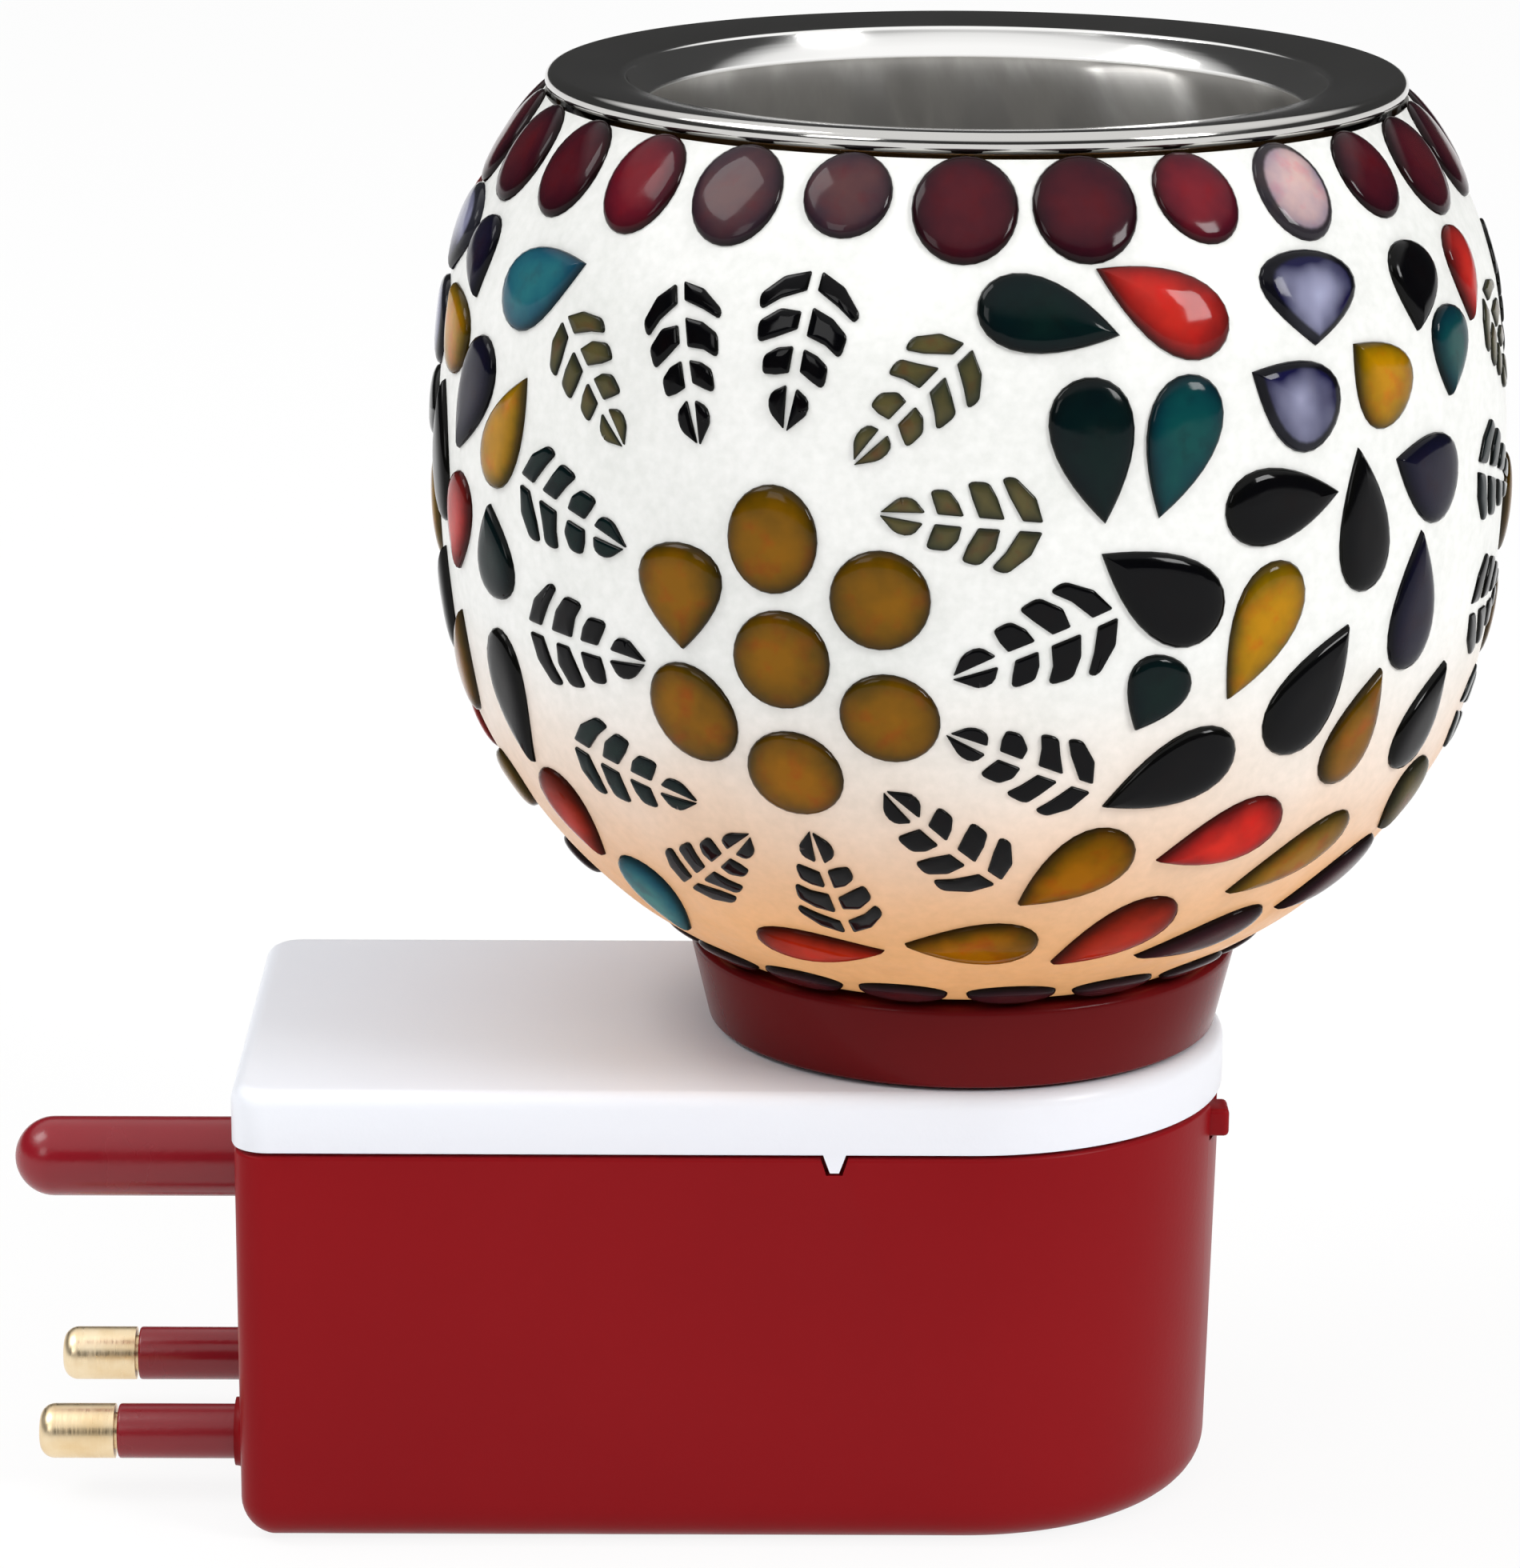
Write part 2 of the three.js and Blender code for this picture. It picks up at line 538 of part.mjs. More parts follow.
// Red insert behind the plug face that carries the dummy earth pin and the pin sleeves
function plugInsert() {
  const back = -(INSERT_BACK_X - PLUG_FACE_X) + INSERT_PLATE / 2;
  const half = INSERT_WIDTH / 2;
  const top = SEAM_Z - TONGUE_DEPTH - CLEARANCE;
  const foot = HOUSING_FLOOR + CLEARANCE;
  const tip = arc(0, EARTH_REACH - EARTH_RADIUS, EARTH_RADIUS, 0, QUARTER, CORNER_STEPS);
  const earth = revolve([[0, back], [EARTH_RADIUS, back], ...tip.slice(0, -1), [0, EARTH_REACH]]);
  const bore = PIN_SHANK_RADIUS + CLEARANCE / 2;
  const sleeve = () => rod(PIN_RADIUS, back, SLEEVE_LENGTH);
  const channel = () => rod(bore, back - INSERT_PLATE, SLEEVE_LENGTH + 1);
  const moulding = join(
    block(INSERT_X, INSERT_BACK_X, -half, half, foot, top),
    outOfPlug(earth, 0, EARTH_HEIGHT),
    outOfPlug(sleeve(), -PIN_SPACING / 2, PIN_HEIGHT),
    outOfPlug(sleeve(), PIN_SPACING / 2, PIN_HEIGHT),
  );
  return cut(
    moulding,
    outOfPlug(channel(), -PIN_SPACING / 2, PIN_HEIGHT),
    outOfPlug(channel(), PIN_SPACING / 2, PIN_HEIGHT),
  );
}

// Brass pin: a thin shank through the sleeve and a full tip with a rounded end
function contactPin(y) {
  const tail = -(INSERT_BACK_X - PLUG_FACE_X) - PIN_TAIL;
  const rounding = PIN_RADIUS / 2;
  const tip = arc(PIN_RADIUS - rounding, PIN_REACH - rounding, rounding, 0, QUARTER, FILLET_STEPS);
  const shoulder = SLEEVE_LENGTH + CLEARANCE;
  const profile = [
    [0, tail],
    [PIN_SHANK_RADIUS, tail],
    [PIN_SHANK_RADIUS, shoulder],
    [PIN_RADIUS, shoulder],
    ...tip,
    [0, PIN_REACH],
  ];
  return outOfPlug(revolve(profile), y, PIN_HEIGHT);
}

// Pan-head screw with a cross recess, head down
function coverScrew({ x, y }) {
  const underHead = SCREW_DEPTH + SCREW_HEAD_HEIGHT;
  const edge = SCREW_HEAD_HEIGHT / 2;
  const screw = revolve([
    [0, SCREW_DEPTH],
    [SCREW_HEAD_RADIUS - edge, SCREW_DEPTH],
    [SCREW_HEAD_RADIUS, SCREW_DEPTH + edge],
    [SCREW_HEAD_RADIUS, underHead],
    [SCREW_RADIUS, underHead],
    [SCREW_RADIUS, SCREW_DEPTH + SCREW_LENGTH - SCREW_RADIUS],
    [0, SCREW_DEPTH + SCREW_LENGTH],
  ], SMALL_SIDES);
  const half = SCREW_SOCKET_WIDTH / 2;
  const reach = SCREW_HEAD_RADIUS - edge;
  const recess = SCREW_DEPTH + edge;
  return cut(
    screw,
    block(-reach, reach, -half, half, SCREW_DEPTH - 1, recess),
    block(-half, half, -reach, reach, SCREW_DEPTH - 1, recess),
  ).translate(x, y, 0);
}

// Middle of the switch terminals along X
const TERMINAL_X = (SWITCH_BACK_X + SWITCH_FRONT_X - SWITCH_SLOT) / 2;

// Switch body with the slot that its thumb slides in and pockets for its terminals
function switchBody() {
  const half = SWITCH_WIDTH / 2;
  const pockets = [-1, 1].map((side) => terminal(side, CLEARANCE / 2));
  return cut(
    block(SWITCH_BACK_X, SWITCH_FRONT_X, SWITCH_Y - half, SWITCH_Y + half, SWITCH_FOOT_Z, THUMB_TOP_Z),
    thumbSlot(SWITCH_FRONT_X - SWITCH_SLOT, SWITCH_FRONT_X + 1),
    ...pockets,
  );
}

// Solder tab under the switch, or its pocket when it is given a margin
function terminal(side, margin = 0) {
  const y = SWITCH_Y + (side * TERMINAL_SPACING) / 2;
  const halfWidth = TERMINAL_WIDTH / 2 + margin;
  const halfSheet = TERMINAL_SHEET / 2 + margin;
  const top = SWITCH_FOOT_Z + TERMINAL_ROOT + margin;
  const foot = SWITCH_FOOT_Z - TERMINAL_LENGTH;
  return block(TERMINAL_X - halfSheet, TERMINAL_X + halfSheet, y - halfWidth, y + halfWidth, foot, top);
}

// Thumb of the slide switch, at the end of its travel nearest -Y
function switchThumb() {
  const inner = SWITCH_FRONT_X - SWITCH_SLOT + CLEARANCE;
  const outer = chord(HALF_WIDTH, THUMB_Y) + THUMB_PROUD;
  const round = THUMB_ROUNDING;
  const corner = arc(outer - round, THUMB_FOOT_Z + round, round, -QUARTER, 0, FILLET_STEPS);
  const crown = arc(outer - round / 2, THUMB_TOP_Z - round / 2, round / 2, 0, QUARTER, FILLET_STEPS);
  const outline = [[inner, THUMB_FOOT_Z], ...corner, ...crown, [inner, THUMB_TOP_Z]];
  return plate(outline, THUMB_WIDTH, THUMB_Y);
}

// Conical ring with a floor that the shade ring clamps
function collar() {
  const edge = COLLAR_EDGE;
  return revolveRing([
    [HOLDER_HOLE_RADIUS, COLLAR_FOOT_Z],
    [COLLAR_FOOT_RADIUS - edge, COLLAR_FOOT_Z],
    [COLLAR_FOOT_RADIUS, COLLAR_FOOT_Z + edge],
    [COLLAR_RIM_RADIUS, COLLAR_TOP_Z - edge],
    [COLLAR_RIM_RADIUS - edge, COLLAR_TOP_Z],
    [COLLAR_BORE_RADIUS, COLLAR_TOP_Z],
    [COLLAR_BORE_RADIUS, COLLAR_FLOOR_Z],
    [HOLDER_HOLE_RADIUS, COLLAR_FLOOR_Z],
  ], GLOBE_SIDES);
}

function globeGasket() {
  const top = GASKET_Z + GASKET_THICKNESS;
  return revolveRing([
    [NECK_INNER_RADIUS, GASKET_Z],
    [NECK_RADIUS, GASKET_Z],
    [NECK_RADIUS, top],
    [NECK_INNER_RADIUS, top],
  ], GLOBE_SIDES);
}

// Moulded holder: a cup for the lamp above, a rim round the terminals below and a web between them.
// The rim stops above the switch.
function lampHolder() {
  const cupRadius = HOLDER_SKIRT_RADIUS - HOLDER_SKIRT_WALL;
  const skirtFoot = THUMB_TOP_Z + CLEARANCE;
  const boreRadius = SHELL_RADIUS + CLEARANCE;
  const body = revolve([
    [0, FLANGE_FOOT_Z],
    [cupRadius, FLANGE_FOOT_Z],
    [cupRadius, skirtFoot],
    [HOLDER_SKIRT_RADIUS, skirtFoot],
    [HOLDER_SKIRT_RADIUS, FLANGE_FOOT_Z],
    [FLANGE_RADIUS, FLANGE_FOOT_Z],
    [FLANGE_RADIUS, FLANGE_TOP_Z],
    [HOLDER_RADIUS, FLANGE_TOP_Z],
    [HOLDER_RADIUS, HOLDER_TOP_Z - HOLDER_NOSE],
    [HOLDER_NOSE_RADIUS, HOLDER_TOP_Z - HOLDER_NOSE],
    [HOLDER_NOSE_RADIUS, HOLDER_TOP_Z],
    [boreRadius, HOLDER_TOP_Z],
    [boreRadius, WEB_TOP_Z],
    [0, WEB_TOP_Z],
  ]);
  const studHole = () => rod(STUD_RADIUS + CLEARANCE, FLANGE_FOOT_Z - 1, WEB_TOP_Z + 1, SMALL_SIDES);
  return cut(body, studHole(), studHole().translate(-BLOCK_SPACING, 0, 0));
}

function lampScrewShell() {
  const top = HOLDER_TOP_Z - SHELL_SETBACK;
  return revolveRing([
    [SHELL_MOUTH_RADIUS, SHELL_FOOT_Z],
    [SHELL_RADIUS, SHELL_FOOT_Z],
    [SHELL_RADIUS, top],
    [SHELL_INNER_RADIUS, top],
    [SHELL_INNER_RADIUS, SHELL_FOOT_Z + SHELL_SHEET],
    [SHELL_MOUTH_RADIUS, SHELL_FOOT_Z + SHELL_SHEET],
  ]);
}

// Springy brass leaf that presses on the tip of the lamp
function lampCentreContact() {
  const half = LEAF_LENGTH / 2;
  const lower = [
    [-half, 0],
    [-half / 2, 0],
    [0, LEAF_RISE],
    [half / 3, LEAF_RISE],
    [0.8 * half, LEAF_RISE / 2],
  ];
  const upper = lower.map(([x, z]) => [x, z + LEAF_SHEET]).reverse();
  return plate([...lower, ...upper], LEAF_WIDTH, 0).translate(0, 0, SHELL_FOOT_Z);
}

// Brass terminal block with a stud up through the web of the holder
function holderTerminal(x) {
  const halfLength = BLOCK_LENGTH / 2;
  const halfWidth = BLOCK_WIDTH / 2;
  const body = join(
    block(-halfLength, halfLength, -halfWidth, halfWidth, BLOCK_FOOT_Z, BLOCK_TOP_Z),
    rod(STUD_RADIUS, BLOCK_TOP_Z - STUD_RADIUS, WEB_TOP_Z, SMALL_SIDES),
  );
  const hole = rod(BLOCK_SCREW_RADIUS + CLEARANCE / 2, -1, BLOCK_SCREW_LENGTH + CLEARANCE, SMALL_SIDES);
  const middle = (BLOCK_FOOT_Z + BLOCK_TOP_Z) / 2;
  return cut(body, hole.rotateX(-QUARTER).translate(0, -halfWidth, middle)).translate(x, 0, 0);
}

// Screw in the side of a terminal block
function holderTerminalScrew(x) {
  const underHead = -CLEARANCE;
  const screw = revolve([
    [0, underHead - BLOCK_SCREW_HEAD],
    [BLOCK_SCREW_HEAD_RADIUS, underHead - BLOCK_SCREW_HEAD],
    [BLOCK_SCREW_HEAD_RADIUS, underHead],
    [BLOCK_SCREW_RADIUS, underHead],
    [BLOCK_SCREW_RADIUS, BLOCK_SCREW_LENGTH],
    [0, BLOCK_SCREW_LENGTH],
  ], SMALL_SIDES);
  return screw.rotateX(-QUARTER).translate(x, -BLOCK_WIDTH / 2, (BLOCK_FOOT_Z + BLOCK_TOP_Z) / 2);
}

// Ring nut with round finger grips
function shadeRing() {
  const inner = HOLDER_HOLE_RADIUS;
  const outer = inner + SHADE_RING_WALL;
  const foot = COLLAR_FLOOR_Z + CLEARANCE;
  const top = foot + SHADE_RING_HEIGHT;
  const ring = revolveRing([[inner, foot], [outer, foot], [outer, top], [inner, top]], ROUND_SIDES);
  const grips = Array.from({ length: SHADE_RING_GRIPS }, (_, i) => {
    const grip = rod(GRIP_RADIUS, foot - 1, top + 1, SMALL_SIDES).translate(outer, 0, 0);
    return grip.rotateZ((4 * QUARTER * i) / SHADE_RING_GRIPS);
  });
  return cut(ring, ...grips);
}

function bulbCap() {
  const inner = CAP_RADIUS - CAP_SHEET;
  return revolveRing([
    [CAP_MOUTH_RADIUS, CAP_Z],
    [CAP_RADIUS - CAP_SHEET, CAP_Z],
    [CAP_RADIUS, CAP_Z + 2 * CAP_SHEET],
    [CAP_RADIUS, CAP_TOP_Z],
    [inner, CAP_TOP_Z],
    [inner, CAP_Z + 2 * CAP_SHEET],
    [CAP_MOUTH_RADIUS, CAP_Z + CAP_SHEET],
  ]);
}

function bulbInsulator() {
  const top = INSULATOR_Z + INSULATOR_HEIGHT;
  return revolve([[0, INSULATOR_Z], [CAP_MOUTH_RADIUS, INSULATOR_Z], [INSULATOR_RADIUS, top], [0, top]]);
}

function bulbTip() {
  const top = TIP_Z + TIP_HEIGHT;
  const dome = arc(0, 0, 1, -QUARTER, 0, FILLET_STEPS).slice(1);
  const shaped = dome.map(([r, z]) => [r * TIP_RADIUS, top + z * TIP_HEIGHT]);
  return revolve([[0, TIP_Z], ...shaped, [0, top]], SMALL_SIDES);
}

// Outer or inner skin of the bulb from its neck to its crown, drawn in by the glass thickness
function bulbCurve(inset) {
  const bellyZ = BULB_TOP_Z - BULB_RADIUS;
  const radius = BULB_RADIUS - inset;
  const neck = BULB_NECK_RADIUS - inset;
  const shoulder = new THREE.CubicBezierCurve(
    new THREE.Vector2(neck, CAP_TOP_Z),
    new THREE.Vector2(neck, (CAP_TOP_Z + bellyZ) / 2),
    new THREE.Vector2(radius, (CAP_TOP_Z + bellyZ) / 2),
    new THREE.Vector2(radius, bellyZ),
  );
  const rise = shoulder.getPoints(BULB_STEPS).map(({ x, y }) => [x, y]);
  const crown = arc(0, bellyZ, radius, 0, QUARTER, BULB_STEPS).slice(1, -1);
  return [[neck, BULB_NECK_Z], ...rise, ...crown, [0, bellyZ + radius]];
}

function bulbEnvelope() {
  return revolve([...bulbCurve(BULB_GLASS).reverse(), ...bulbCurve(0)]);
}

// Glass stem whose flare closes the neck of the bulb
function bulbStem() {
  const flareTop = BULB_NECK_Z - CLEARANCE;
  const flareFoot = flareTop - BULB_GLASS;
  return revolve([
    [0, flareFoot],
    [BULB_NECK_RADIUS, flareFoot],
    [BULB_NECK_RADIUS, flareTop],
    [BULB_NECK_RADIUS - BULB_GLASS - CLEARANCE, flareTop],
    [STEM_RADIUS, CAP_TOP_Z - NECK_DEPTH / 2],
    [STEM_RADIUS, STEM_TOP_Z],
    [0, STEM_TOP_Z],
  ], SMALL_SIDES);
}

// Filament and its two supports as one bent wire
function bulbFilament() {
  const foot = STEM_TOP_Z + CLEARANCE;
  const top = foot + FILAMENT_RISE;
  const side = [
    [STEM_RADIUS / 2, 0, foot],
    [STEM_RADIUS, 0, (2 * foot + top) / 3],
    [FILAMENT_SPREAD, 0, (foot + 2 * top) / 3],
    [FILAMENT_SPREAD / 2, 0, top],
  ];
  const mirrored = side.map(([x, y, z]) => [-x, y, z]).reverse();
  return tube([...side, ...mirrored], FILAMENT_RADIUS, 14);
}

// Outer line of the mosaic from foot to mouth: each point is a share of the rise and of the swell
// of its part of the curve, below and above the belly
const BOWL_SHAPE = [[0, 0], [0.13, 0.36], [0.3, 0.65], [0.49, 0.86], [0.73, 0.965], [1, 1]];
const SHOULDER_SHAPE = [[0.29, 0.95], [0.55, 0.83], [0.75, 0.57], [0.9, 0.27], [1, 0]];

function globeCurve() {
  const bowlSwell = GLOBE_RADIUS - GLOBE_FOOT_RADIUS;
  const bowl = BOWL_SHAPE.map(([rise, swell]) => {
    return new THREE.Vector2(GLOBE_FOOT_RADIUS + swell * bowlSwell, GLOBE_FOOT_Z + rise * GLOBE_BELLY);
  });
  const shoulderRise = GLOBE_HEIGHT - GLOBE_BELLY;
  const shoulderSwell = GLOBE_RADIUS - DISH_RADIUS;
  const shoulder = SHOULDER_SHAPE.map(([rise, swell]) => {
    const z = GLOBE_FOOT_Z + GLOBE_BELLY + rise * shoulderRise;
    return new THREE.Vector2(DISH_RADIUS + swell * shoulderSwell, z);
  });
  return new THREE.SplineCurve([...bowl, ...shoulder]);
}

const GLOBE_CURVE = globeCurve();
const GLOBE_SIDE = GLOBE_CURVE.getLength();

// Radius and height at a share of the globe's outline, moved out square to its surface
function globePoint(share, out) {
  const point = GLOBE_CURVE.getPointAt(share);
  const along = GLOBE_CURVE.getTangentAt(share);
  return [point.x + out * along.y, point.y - out * along.x];
}

// Points of the globe's outline, moved in towards the lamp by a depth
function globeLine(depth, steps) {
  return Array.from({ length: steps + 1 }, (_, i) => globePoint(i / steps, -depth));
}

// Blown glass with a neck that stands in the collar and a lip that carries the dish
function glassGlobe() {
  const outside = globeLine(GROUT_THICKNESS + CLEARANCE, GLASS_STEPS);
  const inside = globeLine(GROUT_THICKNESS + CLEARANCE + GLASS_WALL, LINING_STEPS).reverse();
  return revolveRing([
    [NECK_INNER_RADIUS, NECK_FOOT_Z],
    [NECK_RADIUS, NECK_FOOT_Z],
    [NECK_RADIUS, GLOBE_FOOT_Z],
    ...outside,
    [LIP_RADIUS, GLOBE_TOP_Z],
    [LIP_RADIUS, LIP_Z],
    [LIP_INNER_RADIUS, LIP_Z],
    [LIP_INNER_RADIUS, GLOBE_TOP_Z - LIP_RISE],
    ...inside,
    [NECK_INNER_RADIUS, GLOBE_FOOT_Z],
  ], GLOBE_SIDES);
}

// Main drops of a cluster: angle from the cluster's middle, way up the side, length, width and the
// way that the point faces, up from sideways
const DROPS = [
  [-33, 70.5, 11.5, 6.2, -14],
  [-20.7, 71.3, 12, 6.5, 148],
  [-28.5, 60.1, 11.6, 6.8, -82],
  [-20.5, 60.1, 11.6, 6.2, -108],
  [-8, 55.4, 11, 6, 2],
  [2.8, 52.4, 12, 5.6, 96],
  [-21.5, 48.7, 12, 7, 147],
  [-10.2, 44.6, 12, 6.2, -115],
  [-2.7, 38.9, 12, 6.6, 57],
  [-19, 32.9, 12, 6, -155],
  [-10.7, 26, 11.6, 6.2, -161],
  [2.3, 21.9, 12.5, 5.4, -147],
  [-28.2, 23.5, 11.2, 6.6, -136],
  [-20, 14.4, 12, 6.4, -135],
];

// Drops that close a cluster on its right, and those that close the last one
const RIGHT_DROPS = [
  [12, 44.5, 11.8, 6, 87],
];
const LAST_DROPS = [
  [25.7, 68.6, 11.2, 6.8, 26],
  [21.7, 56.9, 11.2, 5.6, 61],
  [14, 58.8, 11.2, 6, -118],
  [20, 34, 12, 5.6, -83],
];

// Low glass tile bent to the globe, with its foot in the grout and a crown in its middle. A pointed
// tile tapers towards the way that it faces.
function tile(angle, up, length, width, turn, pointed) {
  const bearing = THREE.MathUtils.degToRad(angle);
  const facing = THREE.MathUtils.degToRad(turn);
  const onGlobe = (along, across, out) => {
    const sideways = along * Math.cos(facing) - across * Math.sin(facing);
    const rise = along * Math.sin(facing) + across * Math.cos(facing);
    const share = Math.min(up + rise, GLOBE_SIDE - MOUTH_MARGIN) / GLOBE_SIDE;
    const [radius, z] = globePoint(share, out);
    const around = bearing + sideways / globePoint(share, 0)[0];
    return [radius * Math.sin(around), -radius * Math.cos(around), z];
  };
  const sides = pointed ? DROP_SIDES : DISC_SIDES;
  const rim = arc(0, 0, 1, 0, 4 * QUARTER, sides).slice(0, -1);
  const outline = rim.map(([x, y]) => {
    const lag = pointed ? DROP_LAG * y * y : 0;
    return [((x - lag) * length) / 2, (y * width) / 2];
  });
  const ring = (scale, out) => outline.map(([x, y]) => onGlobe(x * scale, y * scale, out));
  const points = [
    onGlobe(0, 0, -TILE_BURY),
    ...ring(TILE_SPREAD, -TILE_BURY),
    ...ring(TILE_CROWN, TILE_SHOULDER),
    onGlobe(0, 0, TILE_RISE),
  ];
  const index = [];
  for (let i = 0; i < sides; i += 1) {
    const j = (i + 1) % sides;
    const [low, nextLow] = [1 + i, 1 + j];
    const [high, nextHigh] = [1 + sides + i, 1 + sides + j];
    index.push(0, nextLow, low, low, nextLow, nextHigh, low, nextHigh, high);
    index.push(high, nextHigh, points.length - 1);
  }
  const geometry = new THREE.BufferGeometry();
  geometry.setAttribute("position", new THREE.Float32BufferAttribute(points.flat(), 3));
  geometry.setIndex(index);
  return geometry;
}

// All tiles that stand proud: the row at the mouth, the flowers and the clusters of drops
function mosaicTiles() {
  const mouthUp = GLOBE_SIDE - MOUTH_MARGIN - MOUTH_TILE_LENGTH / 2;
  const tiles = Array.from({ length: MOUTH_TILES }, (_, i) => {
    const angle = MOUTH_TILE_ANGLE + (360 * i) / MOUTH_TILES;
    return tile(angle, mouthUp, MOUTH_TILE_LENGTH, MOUTH_TILE_WIDTH, 90, false);
  });
  const flowerRadius = globePoint(FLOWER_UP / GLOBE_SIDE, 0)[0];
  for (let flower = 0; flower < FLOWERS; flower += 1) {
    const middle = FLOWER_ANGLE + (360 * flower) / FLOWERS;
    tiles.push(tile(middle, FLOWER_UP, PETAL_SIZE, PETAL_SIZE, 0, false));
    for (let petal = 0; petal < PETALS; petal += 1) {
      const turn = THREE.MathUtils.degToRad(PETAL_ANGLE + (360 * petal) / PETALS);
      const aside = THREE.MathUtils.radToDeg((PETAL_RING * Math.cos(turn)) / flowerRadius);
      const up = FLOWER_UP + PETAL_RING * Math.sin(turn);
      tiles.push(tile(middle + aside, up, PETAL_SIZE, PETAL_SIZE, 0, false));
    }
    const cluster = middle + 180 / FLOWERS;
    const closing = flower === FLOWERS - 1 ? LAST_DROPS : RIGHT_DROPS;
    for (const [aside, ...shape] of [...DROPS, ...closing]) {
      tiles.push(tile(cluster + aside, ...shape, true));
    }
  }
  return tiles;
}

// White grout skin round the glass with the tiles set in it
function mosaicSkin() {
  const outside = globeLine(0, GROUT_STEPS);
  const inside = globeLine(GROUT_THICKNESS, GLASS_STEPS);
  const full = revolve([[0, GLOBE_FOOT_Z], ...outside, [0, GLOBE_TOP_Z]], GROUT_SIDES);
  const [[footRadius], [mouthRadius]] = [inside[0], inside.at(-1)];
  const below = GLOBE_FOOT_Z - 1;
  const above = GLOBE_TOP_Z + 1;
  const room = revolve([
    [0, below],
    [footRadius, below],
    ...inside,
    [mouthRadius, above],
    [0, above],
  ], GLOBE_SIDES);
  return cut(join(full, ...mosaicTiles()), room);
}

// Steel dish: a flat floor, a steep wall that drops into the globe's mouth and a broad rim, rolled over
function camphorDish() {
  const floorZ = DISH_RIM_Z - DISH_DEPTH;
  const beadZ = DISH_RIM_Z - BEAD_RADIUS;
  const start = Math.PI - Math.asin((DISH_RIM_UNDER_Z - beadZ) / BEAD_RADIUS);
  const bead = arc(DISH_RADIUS - BEAD_RADIUS, beadZ, BEAD_RADIUS, start, 5 * QUARTER, BEAD_STEPS);
  const wallFoot = DISH_WELL_RADIUS - DISH_WALL_LEAN;
  return revolve([
    [0, floorZ - DISH_SHEET],
    [DISH_FLOOR_RADIUS, floorZ - DISH_SHEET],
    [wallFoot, floorZ - DISH_SHEET + DISH_FILLET],
    [DISH_WELL_RADIUS, DISH_RIM_UNDER_Z],
    ...bead,
    [DISH_WELL_RADIUS - DISH_SHEET, DISH_RIM_Z],
    [wallFoot - DISH_SHEET, floorZ + DISH_FILLET],
    [DISH_FLOOR_RADIUS, floorZ],
    [0, floorZ],
  ], GLOBE_SIDES);
}

// Leads: from the line pin to the switch, from the switch to the lamp and from the lamp to neutral
function lineLead() {
  const start = INSERT_BACK_X + PIN_TAIL + CLEARANCE;
  const y = -PIN_SPACING / 2;
  const endY = SWITCH_Y - TERMINAL_SPACING / 2;
  const end = SWITCH_FOOT_Z - TERMINAL_LENGTH - CLEARANCE;
  const route = [
    [start, y, PIN_HEIGHT],
    [start + LEAD_STRAIGHT, y, PIN_HEIGHT],
    [-25, -8, 5],
    [-5, -6.5, 5],
    [8, endY, 7.5],
    [TERMINAL_X - 1, endY, 16],
    [TERMINAL_X, endY, end],
  ];
  return tube(route, LEAD_RADIUS, 18);
}

function switchLead() {
  const startY = SWITCH_Y + TERMINAL_SPACING / 2;
  const start = SWITCH_FOOT_Z - TERMINAL_LENGTH - CLEARANCE;
  const end = BLOCK_FOOT_Z - CLEARANCE;
  const route = [
    [TERMINAL_X, startY, start],
    [TERMINAL_X - 0.5, startY, 19],
    [9, -0.5, 12.5],
    [3, 0, 14],
    [0.3, 0, 21],
    [0, 0, end],
  ];
  return tube(route, LEAD_RADIUS, 12);
}

function neutralLead() {
  const start = INSERT_BACK_X + PIN_TAIL + CLEARANCE;
  const y = PIN_SPACING / 2;
  const end = BLOCK_FOOT_Z - CLEARANCE;
  const route = [
    [start, y, PIN_HEIGHT],
    [start + LEAD_STRAIGHT, y, PIN_HEIGHT],
    [-28, 8, 5],
    [-14, 4, 7],
    [-7, 0.5, 16],
    [-BLOCK_SPACING, 0, end],
  ];
  return tube(route, LEAD_RADIUS, 16);
}

// Finishes
const RED_PLASTIC = { color: 0x9c1420, roughness: 0.3, metalness: 0 };
const WHITE_PLASTIC = { color: 0xf2f2f0, roughness: 0.3, metalness: 0 };
const DARK_PLASTIC = { color: 0x1c1b1d, roughness: 0.5, metalness: 0 };
const BRASS = { color: 0xd0a455, roughness: 0.3, metalness: 1 };
const STEEL = { color: 0xb9bbbd, roughness: 0.25, metalness: 1 };
const CLEAR_GLASS = { color: 0xf2efe8, roughness: 0.1, metalness: 0 };
const GROUT = { color: 0xf4f0e6, roughness: 0.7, metalness: 0 };
const RUBBER = { color: 0x2a2a2a, roughness: 0.8, metalness: 0 };
const FILAMENT = { color: 0xffb45a, roughness: 0.5, metalness: 0 };
const LINE_WIRE = { color: 0x7a3b1c, roughness: 0.6, metalness: 0 };
const NEUTRAL_WIRE = { color: 0x22398a, roughness: 0.6, metalness: 0 };

function piece(name, geometry, finish) {
  geometry.computeVertexNormals();
  const mesh = new THREE.Mesh(geometry, new THREE.MeshStandardMaterial(finish));
  mesh.name = name;
  return mesh;
}

